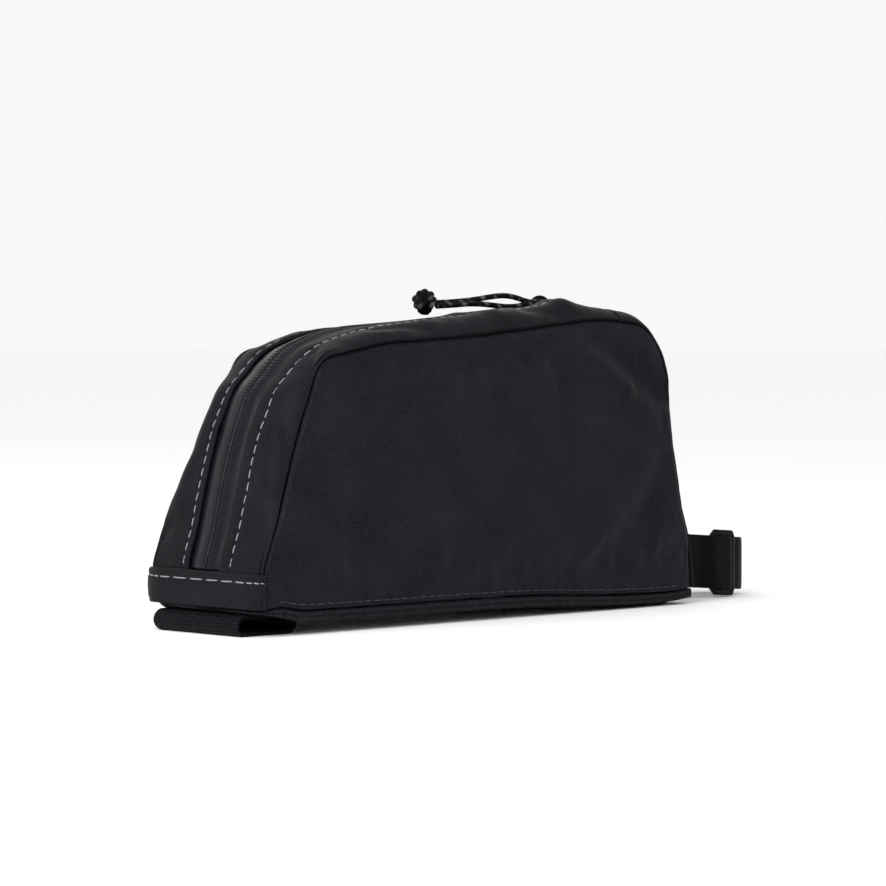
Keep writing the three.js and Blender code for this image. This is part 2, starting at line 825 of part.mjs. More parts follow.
function knotGeometry() {
  const lump = 0.05;
  const ball = new THREE.SphereGeometry(knotDiameter / 2, 14, 9);
  const centre = fromEye(knotFromEye);
  const knotted = moved(ball, (p) => {
    const around = Math.atan2(p.z, p.x);
    const swell = 1 + lump * Math.sin(3 * around) * Math.sin((Math.PI * p.y) / knotDiameter);
    return [centre.x + p.x * swell, centre.y + p.y * swell, centre.z + p.z * swell];
  });
  return closed(knotted);
}

const group = new THREE.Group();

// Adds a named mesh with its own material.
function add(name, geometry, color, roughness, metalness = 0) {
  const material = new THREE.MeshStandardMaterial({ color, roughness, metalness });
  const mesh = new THREE.Mesh(geometry, material);
  mesh.name = name;
  group.add(mesh);
  return mesh;
}

const sideColour = 0x28282e;
const gussetColour = 0x212126;
const webbingColour = 0x141418;
const tapeColour = 0x2b2b31;
const cordColour = 0x1c1c20;

for (const [name, side] of [["left", 1], ["right", -1]]) {
  add(`side_panel_${name}`, sidePanelGeometry(side), sideColour, 0.85);
  add(`gusset_strip_${name}`, stripGeometry(side), gussetColour, 0.85);
}
add("zipper_tape", tapeGeometry(), tapeColour, 0.35);
add("zipper_coil", coilGeometry(), tapeColour, 0.3);
const runner = add("zipper_slider", runnerGeometry(), 0x0c0c0e, 0.3, 0.6);
runner.position.set(...runnerFoot);
runner.rotation.y = -runnerTilt;
add("pull_cord_upper", strandGeometry(upperStrand), cordColour, 0.9);
add("pull_cord_lower", strandGeometry(lowerStrand), cordColour, 0.9);
add("pull_knot", knotGeometry(), cordColour, 0.9);
add("end_band", endBandGeometry(), gussetColour, 0.85);
add("tall_end_panel", tallEndGeometry(), gussetColour, 0.85);
add("bottom_panel", bottomPanelGeometry(), gussetColour, 0.85);
add("bottom_binding", bindingGeometry(), webbingColour, 0.8);
add("strap_sleeve", sleeveGeometry(), webbingColour, 0.8);
add("stem_strap", strapGeometry(), webbingColour, 0.75);
add("strap_slider", glideGeometry(), 0x111114, 0.45);

// The middle of the whole length is the origin.
group.position.x = -(lowFaceX - sleeveOverhang + strapEndX) / 2;

export default group;
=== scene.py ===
"""Top tube bag: a small padded bag that stands on a bicycle's top tube, behind the stem.

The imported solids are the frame. Each operator makes one piece, or one group of like pieces,
over the solids that it stands for. Lengths are metres. X runs from the low end to the tall
end, Z is up, and the near side is -Y.
"""

import json
import math

import bmesh
import bpy
from mathutils import Matrix, Vector, noise

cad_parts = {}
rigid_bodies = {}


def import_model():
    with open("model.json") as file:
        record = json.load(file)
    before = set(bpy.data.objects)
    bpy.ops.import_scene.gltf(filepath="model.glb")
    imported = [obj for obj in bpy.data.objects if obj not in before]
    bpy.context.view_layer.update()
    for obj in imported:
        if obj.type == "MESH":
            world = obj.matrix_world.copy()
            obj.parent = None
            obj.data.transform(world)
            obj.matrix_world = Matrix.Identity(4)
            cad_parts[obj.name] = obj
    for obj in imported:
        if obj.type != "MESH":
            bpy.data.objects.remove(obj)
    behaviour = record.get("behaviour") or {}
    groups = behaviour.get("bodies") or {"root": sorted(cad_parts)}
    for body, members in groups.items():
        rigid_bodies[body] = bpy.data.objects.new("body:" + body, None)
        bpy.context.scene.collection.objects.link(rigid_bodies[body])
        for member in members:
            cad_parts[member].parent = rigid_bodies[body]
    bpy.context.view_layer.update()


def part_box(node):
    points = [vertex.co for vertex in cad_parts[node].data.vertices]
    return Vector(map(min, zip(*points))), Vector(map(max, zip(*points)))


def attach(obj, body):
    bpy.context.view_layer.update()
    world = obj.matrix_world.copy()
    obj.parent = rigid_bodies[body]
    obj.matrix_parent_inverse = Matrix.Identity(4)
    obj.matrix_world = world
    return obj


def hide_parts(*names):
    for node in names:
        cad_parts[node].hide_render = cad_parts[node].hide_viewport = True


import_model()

bl_info = {
    "name": "Top Tube Bag",
    "version": (1, 0, 0),
    "blender": (4, 5, 0),
    "location": "View3D > Sidebar > Top Tube Bag",
    "description": "Builds a small padded top tube bag with a curved zipper and webbing straps",
    "category": "Object",
}

MM = 0.001

# The side seam's corners, from the foot of the low end over the top to the foot of the tall
# end: share of the body's length, then the corner's height and radius as shares of its height.
SEAM_CORNERS = (
    (0, None, 0),
    (0.0014, 0.226, 0.19),
    (0.149, 0.88, 0.103),
    (0.292, 0.924, 0.565),
    (0.52, 0.948, 1.13),
    (0.792, 1, 1.13),
    (0.905, 0.982, 0.15),
    (0.961, 0.85, 0.26),
    (0.9705, 0.36, 0.376),
    (0.994, 0.215, 0.376),
    (1, None, 0),
)

# How far the top band stands off the seam: share of the seam's length, share of the rise.
CROWN_ROWS = (
    (0, 0.29),
    (0.035, 0.3),
    (0.065, 0.36),
    (0.1, 0.66),
    (0.15, 1.04),
    (0.2, 1.12),
    (0.218, 1),
    (0.237, 0.6),
    (0.256, 0.32),
    (0.28, 0.5),
    (0.3, 0.68),
    (0.332, 0.79),
    (0.364, 0.86),
    (0.425, 0.92),
    (0.5, 1),
    (0.56, 0.96),
    (0.6, 0.93),
    (0.625, 0.8),
    (0.66, 0.66),
    (0.7, 0.52),
    (0.73, 0.3),
    (0.76, 0.2),
    (0.9, 0.22),
    (1, 0.3),
)

# How far the top band tips over to the left: share of the seam's length, drop of the left
# stitch line below the right one as a share of the rise.
TIP_ROWS = (
    (0, 0),
    (0.28, 0),
    (0.33, 0.12),
    (0.4, 0.25),
    (0.48, 0.25),
    (0.56, 0.2),
    (0.62, 0.12),
    (0.68, 0),
    (1, 0),
)

# How the body narrows upwards: share of its height, share of the way to the top's width.
TAPER_ROWS = ((0, 0), (0.15, 0.02), (0.4, 0.22), (0.565, 0.68), (0.725, 0.93), (1, 1))

# The underside, as shares of the body's length and of the sleeve's height: the binding's lower
# edge, and the bottom cloth on the centre line.
RIM_ROWS = (
    (0, 1.045),
    (0.04, 0.84),
    (0.08, 0.63),
    (0.13, 0.6),
    (0.25, 0.56),
    (0.4, 0.55),
    (0.6, 0.5),
    (0.75, 0.3),
    (0.84, 0.22),
    (0.95, 0.2),
    (1, 0.33),
)
# The share of the binding's height that shows: it is pressed flat on the sleeve at the low end.
BINDING_ROWS = ((0, 0.35), (0.045, 1), (1, 1))
MIDDLE_ROWS = (
    (0, 1.2),
    (0.04, 1.08),
    (0.08, 1.06),
    (0.13, 1.06),
    (0.25, 0.66),
    (0.4, 0.5),
    (0.6, 0.38),
    (0.75, 0.12),
    (0.84, -0.06),
    (0.95, -0.06),
    (1, 0.5),
)

# Soft dents and ridges in the side panels, from one place to another: shares of the body's
# length and height at both ends, half width in mm, depth in mm.
SIDE_FOLDS = (
    (0.76, 0.95, 0.93, 0.76, 6, 2.6),
    (0.745, 0.93, 0.85, 0.77, 4.5, -1.3),
    (0.925, 0.48, 0.875, 0.36, 6, 1.5),
    (0.17, 0.83, 0.22, 0.7, 5, 0.7),
    (0.42, 0.88, 0.45, 0.82, 5, 0.5),
    (0.06, 0.16, 0.2, 0.12, 6, 0.5),
)

# Soft folds in the strips beside the zipper, for the near (-1) and the far strip (1): shares
# of the seam's length and of the way across at both ends, half width in mm, depth in mm.
STRIP_FOLDS = {
    -1: (
        (0.345, 0.5, 0.4, 0.8, 3.5, 0.9),
        (0.55, 0.55, 0.59, 0.85, 4, 0.9),
        (0.237, 0.95, 0.262, 0.45, 3, 1.1),
        (0.15, 0.95, 0.19, 0.6, 4, 0.8),
        (0.09, 0.6, 0.12, 0.95, 4, 0.7),
        (0.45, 0.8, 0.5, 0.5, 4, -0.5),
    ),
    1: (
        (0.05, 0.9, 0.075, 0.5, 3.5, 0.9),
        (0.13, 0.9, 0.16, 0.6, 4, 0.3),
        (0.26, 0.8, 0.29, 0.5, 4, 0.3),
        (0.4, 0.9, 0.44, 0.6, 4, 0.8),
    ),
}

# The route of each strand of the pull cord, from the eye of the slider's bridge to the knot,
# as steps in mm from that eye, and the knot's own place.
UPPER_STRAND = (
    (0, 0.35, 0),
    (-0.2, 1.7, 0),
    (-1.7, 3.1, 0.3),
    (-4.2, 3.7, 0.8),
    (-8, 3.2, 1.6),
    (-12.5, 2.3, 2.3),
    (-18, 1.6, 2.6),
    (-24, 1.1, 2.2),
    (-30, 1, 1.5),
    (-37, 1, 0.8),
    (-44, 1, 0.35),
    (-50, 1, 0.1),
    (-53.6, 1, 0),
)
LOWER_STRAND = (
    (0, -0.35, 0),
    (-0.2, -1.7, 0),
    (-1.7, -3.1, 0.25),
    (-4.2, -3.7, 0.4),
    (-8, -3.2, 0.1),
    (-12.5, -2.3, -1),
    (-18, -1.6, -1.4),
    (-24, -1.1, -1),
    (-30, -1, -0.5),
    (-37, -1, -0.35),
    (-44, -1, -0.7),
    (-50, -1, -1),
    (-53.5, -1, -1.15),
)
KNOT_FROM_EYE = (-58.5, 0, -0.05)

# Where the pieces of the top band meet, as shares of the seam's length
FRONT_CORNER = 0.25
REAR_CORNER = 0.725
PANEL_JOINT = 0.672
RUNNER_SHARE = 0.619
PUFF_SHARE = 0.606

# The photo's camera, in the bag's own place: lens and sensor in mm, place in mm, the way it
# looks over the floor, and how many degrees it looks down
LENS, SENSOR = 156.84, 36
CAMERA_PLACE = (-851, -994, 113)
CAMERA_WAY = (0.695, 0.719)
CAMERA_TILT = 2.12

# Soft lamps: name, step from the bag's middle and width in metres, power in watts
LAMPS = (
    ("overhead_softbox", (-0.35, 0, 1.1), 1, 1.3),
    ("left_softbox", (-0.5, -0.2, 0.3), 0.3, 1.8),
    ("near_softbox", (-0.42, -0.5, 0.3), 0.3, 1),
    ("back_softbox", (0.3, 1.2, 0.9), 0.8, 0.9),
)
ROOM_LIGHT = 0.94


def length(name, millimetres, description):
    return bpy.props.FloatProperty(
        name=name, default=millimetres * MM, unit="LENGTH", description=description
    )


def linear(hex_colour):
    """An sRGB hex colour as linear red, green, blue and alpha."""
    parts = [int(hex_colour[i : i + 2], 16) / 255 for i in (1, 3, 5)]
    return [c / 12.92 if c <= 0.04045 else ((c + 0.055) / 1.055) ** 2.4 for c in parts] + [1]


def colour(name, default, description):
    return bpy.props.FloatVectorProperty(
        name=name,
        subtype="COLOR",
        size=4,
        min=0,
        max=1,
        default=linear(default),
        description=description,
    )


class BodySizes(bpy.types.PropertyGroup):
    long: length("Length", 212, "The body's length along the seam's ends")
    high: length("Height", 106.3, "Height of the side seam at its highest")
    base: length("Base width", 56, "Width of the body at its foot")
    top: length("Top width", 44, "Width of the body along its top")
    spread: length("Left spread", 2.8, "How much further the left side stands out at its foot")
    shoulder: length("Shoulder", 8, "How far the top band rounds over each side")
    crown: length("Crown", 7, "How far the top band rises over the side seam")
    fullness: length("Fullness", 3, "How far the side panels swell")
    side_wall: length("Side wall", 1.6, "Thickness of a padded side panel")
    strip_wall: length("Strip wall", 1.6, "Thickness of the strips beside the zipper")
    end_wall: length("End wall", 1.4, "Thickness of the tall end's panel")
    floor_wall: length("Floor wall", 1.8, "Thickness of the bottom panel")
    gap: length("Seam gap", 0.35, "Space between two neighbouring pieces")
    puff: length("Puff", 2.1, "How far the strips swell beside the slider")
    puff_reach: length("Puff reach", 6, "How far along the swelling reaches")


class ZipperSizes(bpy.types.PropertyGroup):
    opening: length("Opening", 15.6, "Distance between the strips' folded edges")
    opening_shift: length("Opening shift", 1.9, "How far the opening lies to the left")
    tape: length("Tape width", 26, "Width of the coated tape")
    coil: length("Coil width", 10.4, "Width of both rows of the coil")
    tooth_pitch: length("Tooth pitch", 1.25, "Distance from one turn of the coil to the next")
    stitch_line: length("Stitch line", 12.4, "Distance of the topstitching from the middle")
    runner: length("Slider length", 10, "Length of the zipper's slider")
    runner_wide: length("Slider width", 7, "Width of the zipper's slider")
    runner_high: length("Slider height", 1.4, "Height of the slider's plate")
    bridge_wide: length("Bridge width", 2.4, "Width of the slider's bridge")
    bridge_high: length("Bridge height", 3.3, "Height of the slider's bridge")
    eye_high: length("Eye height", 2.7, "Height of the eye under the bridge")
    cord: length("Cord", 2, "Diameter of the pull cord")
    knot: length("Knot", 9, "Diameter of the knot")


class TrimSizes(bpy.types.PropertyGroup):
    band: length("Band height", 12, "Height of the band across the low end")
    band_proud: length("Band proud", 0.8, "How far the band stands off")
    binding: length("Binding height", 3.4, "Height of the tape that binds the bottom edge")
    binding_wall: length("Binding wall", 1.6, "Thickness of the binding")
    binding_proud: length("Binding proud", 0.2, "How far the binding stands off")
    stitch_pitch: length("Stitch pitch", 4.3, "Distance from one stitch to the next")
    stitch_long: length("Stitch length", 3.85, "Length of the thread that shows in a stitch")
    thread: length("Thread", 0.58, "Diameter of the sewing thread")


class StrapSizes(bpy.types.PropertyGroup):
    sleeve_wide: length("Sleeve width", 44.5, "Width of the sleeve under the low end")
    sleeve_shift: length("Sleeve shift", 2.4, "How far the sleeve lies to the left")
    sleeve_long: length("Sleeve length", 27, "Length of the sleeve along the bag")
    sleeve_high: length("Sleeve height", 7.4, "Height of the flattened sleeve")
    sleeve_wall: length("Sleeve wall", 1.5, "Thickness of the sleeve's webbing")
    overhang: length("Overhang", 3, "How far the sleeve stands out past the low end")
    strap: length("Strap width", 20, "Width of the stem strap")
    strap_wall: length("Strap wall", 1.5, "Thickness of the stem strap")
    spread: length("Spread", 26, "Distance between the strap's two layers")
    centre: length("Centre height", 15.5, "Height of the strap's middle where it starts")
    droop: bpy.props.FloatProperty(
        name="Droop", default=0.076, description="How steeply the strap falls, as a slope"
    )
    glide_high: length("Tri-glide height", 25, "Height of the plastic slider")
    glide_long: length("Tri-glide length", 13, "Length of the plastic slider along the strap")
    glide_wall: length("Tri-glide thickness", 2.5, "Thickness of the plastic slider")
    glide_bar: length("Tri-glide bar", 2.6, "Width of each of the slider's bars")
    glide_slot: length("Tri-glide slot", 20.1, "Height of each of the slider's slots")
    glide_back: length("Tri-glide place", 20.5, "Distance of the slider from the loop's end")


class BagColours(bpy.types.PropertyGroup):
    side: colour("Side cloth", "#16151b", "Coated cloth of the side panels")
    gusset: colour("Strip cloth", "#161519", "Coated cloth of the strips, band and tall end")
    # The stem strap's colour is set darker than the sleeve's webbing: painted shade for the shadow
    # that the loop lies in.
    strap: colour("Stem strap", "#070709", "Smooth nylon webbing of the loop at the tall end")
    webbing: colour("Webbing", "#0d0c10", "Coarse webbing of the sleeve")
    tape: colour("Zipper tape", "#17161b", "Coated zipper tape")
    cord: colour("Pull cord", "#0e0d10", "Braided pull cord")
    fleck: colour("Cord flecks", "#7d7c81", "Light yarns in the pull cord")
    thread: colour("Topstitching", "#85848a", "Thread of the topstitching")
    dark_thread: colour("Dark thread", "#36353a", "Thread along the foot of the sides")
    metal: colour("Slider", "#060607", "Enamel on the zipper's slider")
    plastic: colour("Tri-glide", "#0b0b0d", "Plastic of the strap's slider")
    floor: colour("Floor", "#fdfdfd", "Paper under the bag")


def curve_through(rows):
    """A function that runs smoothly through rows of (key, value)."""
    last = len(rows) - 1
    slopes = []
    for i in range(last + 1):
        before, after = rows[max(i - 1, 0)], rows[min(i + 1, last)]
        slopes.append((after[1] - before[1]) / (after[0] - before[0]))

    def value(at):
        i = 0
        while i < last - 1 and at > rows[i + 1][0]:
            i += 1
        span = rows[i + 1][0] - rows[i][0]
        t = min(max((at - rows[i][0]) / span, 0), 1)
        start = (1 + 2 * t) * (1 - t) ** 2 * rows[i][1]
        end = t * t * (3 - 2 * t) * rows[i + 1][1]
        leave = t * (1 - t) ** 2 * span * slopes[i]
        arrive = t * t * (t - 1) * span * slopes[i + 1]
        return start + end + leave + arrive

    return value


def mix(a, b, t):
    return a + (b - a) * t


def clamp(value, low=0.0, high=1.0):
    return min(max(value, low), high)


def smooth(t):
    t = clamp(t)
    return t * t * (3 - 2 * t)


def bell(distance, width):
    """1 at a line, falling off to both sides of it."""
    return math.exp(-((distance / width) ** 2))


def rumple(x, y, z, size, seed=0.0):
    """Smooth unevenness between about -1 and 1, with bumps of a size in metres."""
    return noise.noise(Vector((x / size + seed, y / size - seed, z / size + 2 * seed)))


def rounded_line(corners):
    """A line through corners of (x, z, radius), with each corner rounded, as many points."""
    points = [Vector((x, z)) for x, z, _ in corners]
    line = [points[0]]
    for i in range(1, len(points) - 1):
        back, ahead = points[i - 1] - points[i], points[i + 1] - points[i]
        turn = math.pi - back.angle(ahead)
        room = 0.48 * min(back.length, ahead.length)
        reach = min(corners[i][2] * math.tan(turn / 2), room)
        enter = points[i] + back.normalized() * reach
        leave = points[i] + ahead.normalized() * reach
        for k in range(13):
            t = k / 12
            line.append((1 - t) ** 2 * enter + 2 * t * (1 - t) * points[i] + t * t * leave)
    line.append(points[-1])
    return line


class Body:
    """The bag's main form, worked out from its sizes, in its own place in the frame."""

    def __init__(self, scene):
        self.size = scene.bag_body
        self.zip = scene.bag_zipper
        self.trim = scene.bag_trim
        self.strap = scene.bag_strap
        self.crown = curve_through(CROWN_ROWS)
        self.tip_share = curve_through(TIP_ROWS)
        self.taper = curve_through(TAPER_ROWS)
        self.rim_share = curve_through(RIM_ROWS)
        self.middle_share = curve_through(MIDDLE_ROWS)
        self.binding_share = curve_through(BINDING_ROWS)
        corners = []
        for along, up, radius in SEAM_CORNERS:
            x = along * self.size.long
            z = self.foot(x) if up is None else up * self.size.high
            corners.append((x, z, radius * self.size.high))
        self.line = rounded_line(corners)
        self.passed = [0.0]
        for a, b in zip(self.line, self.line[1:]):
            self.passed.append(self.passed[-1] + (b - a).length)
        self.seam_length = self.passed[-1]
        self.low_face = -self.rise(0)
        sleeve_end = self.low_face - self.strap.overhang
        self.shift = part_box("strap_sleeve")[0].x - sleeve_end
        self.band_top = self.trim.band / self.seam_length
        self.strip_start = self.band_top + self.size.gap / self.seam_length
        self.strip_end = PANEL_JOINT - self.size.gap / self.seam_length
        self.tape_depth = self.size.strip_wall + self.size.gap
        self.tuck = 3 * MM / self.seam_length

    def rim(self, x):
        return self.rim_share(x / self.size.long) * self.strap.sleeve_high

    def binding_high(self, x):
        return self.binding_share(x / self.size.long) * self.trim.binding

    def foot(self, x):
        return self.rim(x) + self.binding_high(x) + self.size.gap

    def curl(self, x, y):
        """How far the low end's far bottom corner turns up."""
        from_middle = y / self.half_width(0, 1)
        return 2.6 * MM * smooth((from_middle - 0.66) / 0.3) * (1 - smooth(x / (6 * MM)))

    def middle(self, x):
        return self.middle_share(x / self.size.long) * self.strap.sleeve_high

    def half_width(self, z, side):
        taper = self.taper(z / self.size.high)
        spread = self.size.spread * (1 - taper) if side > 0 else 0
        return mix(self.size.base, self.size.top, taper) / 2 + spread

    def rise(self, share):
        return self.crown(share) * self.size.crown

    def tip(self, share, y):
        """How far the top band drops at a distance across, where it tips over to the left."""
        return self.tip_share(share) * self.size.crown * (0.5 + y / (2 * self.zip.stitch_line))

    def fold(self, side):
        """The distance of a strip's folded edge from the middle."""
        return self.zip.opening / 2 + side * self.zip.opening_shift

    def puff(self, share, side):
        away = (share - PUFF_SHARE) * self.seam_length
        return self.size.puff * bell(away, self.size.puff_reach) * (0.12 if side > 0 else 1)

    def turned_in(self, share, down, side):
        """A point of the seam allowance, which is turned down behind the side panel."""
        here, outward = self.seam(share)
        place = here - outward * down
        wall = self.size.side_wall + 2.2 * MM
        return Vector((place.x, side * (self.half_width(here.y, side) - wall), place.y))

    def seam_point(self, share):
        at = clamp(share) * self.seam_length
        low, high = 0, len(self.passed) - 1
        while high - low > 1:
            half = (low + high) // 2
            if self.passed[half] <= at:
                low = half
            else:
                high = half
        span = self.passed[high] - self.passed[low] or 1
        return self.line[low].lerp(self.line[high], (at - self.passed[low]) / span)

    def seam(self, share):
        """The seam's place and outward direction at a share of its length, in X and Z."""
        step = 0.004
        along = self.seam_point(share + step) - self.seam_point(share - step)
        along.normalize()
        return self.seam_point(share), Vector((-along.y, along.x))

    def wrap(self, share, across, side, out=0.0, inner=0.0, puff=0.0):
        """A point of the band that wraps over the top, from the middle to the side seam."""
        flat_share = 0.4
        here, outward = self.seam(share)
        flat_half = self.half_width(here.y, side) - self.size.shoulder
        angle = max(across - flat_share, 0) / (1 - flat_share) * math.pi / 2
        flat = mix(inner, flat_half, min(across / flat_share, 1))
        y = side * (flat + (self.size.shoulder + out) * math.sin(angle))
        lift = (self.rise(share) + puff - self.tip(share, y) + out) * math.cos(angle)
        return Vector((here.x + lift * outward.x, y, here.y + lift * outward.y))

    def crest(self, share, y, out=0.0, puff=0.0):
        """A point over the flat middle of the top band."""
        here, outward = self.seam(share)
        lift = self.rise(share) + puff - self.tip(share, y) + out
        return Vector((here.x + lift * outward.x, y, here.y + lift * outward.y))

    def outward(self, share):
        out = self.seam(share)[1]
        return Vector((out.x, 0, out.y))

    def plan_half(self, x, inset, side):
        """Half the plan's width at a distance along, with its rounded corners."""
        beyond_low = -x / (self.rise(0) - inset)
        beyond_tall = (x - self.size.long) / (self.rise(1) - inset)
        beyond = clamp(max(beyond_low, beyond_tall, 0))
        flat_half = self.half_width(0, side) - self.size.shoulder
        return flat_half + (self.size.shoulder - inset) * math.sqrt(1 - beyond * beyond)

    def plan_outline(self, inset, columns=60, corner=6):
        """Once round the plan, as points in X and Y."""
        xs = []
        for i in range(corner, 0, -1):
            xs.append(-(self.rise(0) - inset) * math.sin(i / corner * math.pi / 2))
        xs += [self.size.long * i / columns for i in range(columns + 1)]
        for i in range(1, corner + 1):
            reach = (self.rise(1) - inset) * math.sin(i / corner * math.pi / 2)
            xs.append(self.size.long + reach)
        near = [Vector((x, -self.plan_half(x, inset, -1))) for x in xs]
        far = [Vector((x, self.plan_half(x, inset, 1))) for x in reversed(xs)]
        return near + far

    def placed(self, point):
        return Vector((point[0] + self.shift, point[1], point[2]))


def add_node(tree, kind, inputs=None, **settings):
    """Adds a node with its settings, and fills or links its inputs."""
    node = tree.nodes.new(kind)
    for name, value in settings.items():
        setattr(node, name, value)
    for key, value in (inputs or {}).items():
        if isinstance(value, bpy.types.NodeSocket):
            tree.links.new(value, node.inputs[key])
        else:
            node.inputs[key].default_value = value
    return node


def new_material(name, shader):
    """A material with a plain shader, whose own sockets take the values given."""
    material = bpy.data.materials.new(name)
    material.use_nodes = True
    tree = material.node_tree
    tree.nodes.clear()
    surface = add_node(tree, "ShaderNodeBsdfPrincipled", shader)
    add_node(tree, "ShaderNodeOutputMaterial", {"Surface": surface.outputs["BSDF"]})
    return material, tree, surface


def scaled(colour_value, factor):
    """A colour made darker or lighter."""
    return [min(c * factor, 1) for c in colour_value[:3]] + [1]


def stripes(pitch):
    """The scale at which a wave texture's bands lie a pitch apart, in metres."""
    return math.pi / 10 / pitch


def woven_cloth(name, colour_value, thread, relief):
    """Polyester cloth in plain weave with a coating on its back: matt, with fine crossed
    threads, slubs, a faint cloudiness where it was handled, and a soft sheen.
    The threads are drawn twice as coarse as real ones, so that they show."""
    material, tree, surface = new_material(
        name,
        {
            "Roughness": 0.48,
            "Specular IOR Level": 0.05,
            "Sheen Weight": 0.05,
            "Sheen Roughness": 0.3,
            "IOR": 1.5,
        },
    )
    place = add_node(tree, "ShaderNodeTexCoord").outputs["UV"]
    threads = []
    for direction in ("X", "Y"):
        band = add_node(
            tree,
            "ShaderNodeTexWave",
            {"Vector": place, "Scale": stripes(thread), "Distortion": 1.2, "Detail": 1},
            bands_direction=direction,
        )
        threads.append(band.outputs["Fac"])
    crossing = add_node(
        tree, "ShaderNodeMath", {0: threads[0], 1: threads[1]}, operation="MAXIMUM"
    ).outputs[0]
    slub = add_node(
        tree,
        "ShaderNodeTexNoise",
        {"Vector": place, "Scale": 0.8 / thread, "Detail": 2, "Roughness": 0.7},
    ).outputs["Fac"]
    cloud = add_node(
        tree, "ShaderNodeTexNoise", {"Vector": place, "Scale": 45, "Detail": 5, "Roughness": 0.6}
    ).outputs["Fac"]
    grain = add_node(
        tree, "ShaderNodeMath", {0: crossing, 1: 0.4, 2: slub}, operation="MULTIPLY_ADD"
    ).outputs[0]
    tone = add_node(
        tree, "ShaderNodeMath", {0: cloud, 1: 0.7, 2: grain}, operation="MULTIPLY_ADD"
    ).outputs[0]
    amount = add_node(
        tree, "ShaderNodeMapRange", {"Value": tone, "From Min": 0.75, "From Max": 1.6}
    ).outputs["Result"]
    coloured = add_node(
        tree,
        "ShaderNodeMix",
        {0: amount, 6: scaled(colour_value, 0.15), 7: scaled(colour_value, 2.1)},
        data_type="RGBA",
    )
    tree.links.new(coloured.outputs[2], surface.inputs["Base Color"])
    bump = add_node(tree, "ShaderNodeBump", {"Height": grain, "Strength": 0.7, "Distance": relief})
    tree.links.new(bump.outputs["Normal"], surface.inputs["Normal"])
    return material


def ribbed_webbing(name, colour_value, along, across, relief):
    """Webbing or tape of polypropylene or nylon: flat yarns in rows with a dull plastic shine. Its
    colour holds painted shade in the pits where the yarns cross and a painted highlight on the
    crown of each yarn."""
    material, tree, surface = new_material(
        name, {"Roughness": 0.45, "Specular IOR Level": 0.04, "IOR": 1.49}
    )
    place = add_node(tree, "ShaderNodeTexCoord").outputs["UV"]
    yarns = []
    for direction, pitch in (("X", along), ("Y", across)):
        band = add_node(
            tree,
            "ShaderNodeTexWave",
            {"Vector": place, "Scale": stripes(pitch), "Distortion": 0.6, "Detail": 1},
            bands_direction=direction,
        )
        yarns.append(band.outputs["Fac"])
    crown = add_node(
        tree, "ShaderNodeMath", {0: yarns[0], 1: yarns[1]}, operation="MAXIMUM"
    ).outputs[0]
    fibre = add_node(
        tree,
        "ShaderNodeTexNoise",
        {"Vector": place, "Scale": 0.5 / across, "Detail": 3, "Roughness": 0.7},
    ).outputs["Fac"]
    # The colour mask below is painted light: darker pits between the yarns as painted shade,
    # lighter crowns as a painted highlight, mixed with random fibre tone.
    tone = add_node(
        tree, "ShaderNodeMath", {0: fibre, 1: crown}, operation="MULTIPLY"
    ).outputs[0]
    amount = add_node(
        tree, "ShaderNodeMapRange", {"Value": tone, "From Min": 0.1, "From Max": 0.65}
    ).outputs["Result"]
    coloured = add_node(
        tree,
        "ShaderNodeMix",
        {0: amount, 6: scaled(colour_value, 0.1), 7: scaled(colour_value, 2.6)},
        data_type="RGBA",
    )
    tree.links.new(coloured.outputs[2], surface.inputs["Base Color"])
    bump = add_node(tree, "ShaderNodeBump", {"Height": crown, "Strength": 0.9, "Distance": relief})
    tree.links.new(bump.outputs["Normal"], surface.inputs["Normal"])
    return material


def coated_tape(name, colour_value):
    """Polyurethane-coated zipper tape: a thin smooth film over fine ribs, which takes a soft
    broad highlight."""
    material, tree, surface = new_material(
        name, {"Roughness": 0.3, "Specular IOR Level": 0.13, "IOR": 1.5}
    )
    place = add_node(tree, "ShaderNodeTexCoord").outputs["UV"]
    ribs = add_node(
        tree,
        "ShaderNodeTexWave",
        {"Vector": place, "Scale": stripes(0.9 * MM), "Distortion": 0.5, "Detail": 1},
    ).outputs["Fac"]
    cloud = add_node(
        tree, "ShaderNodeTexNoise", {"Vector": place, "Scale": 160, "Detail": 4}
    ).outputs["Fac"]
    coloured = add_node(
        tree,
        "ShaderNodeMix",
        {0: cloud, 6: scaled(colour_value, 0.6), 7: scaled(colour_value, 1.4)},
        data_type="RGBA",
    )
    tree.links.new(coloured.outputs[2], surface.inputs["Base Color"])
    ribbing = add_node(
        tree, "ShaderNodeBump", {"Height": ribs, "Strength": 0.12, "Distance": 0.1 * MM}
    )
    grit = add_node(
        tree,
        "ShaderNodeBump",
        {
            "Height": cloud,
            "Strength": 0.3,
            "Distance": 0.2 * MM,
            "Normal": ribbing.outputs["Normal"],
        },
    )
    tree.links.new(grit.outputs["Normal"], surface.inputs["Normal"])
    return material


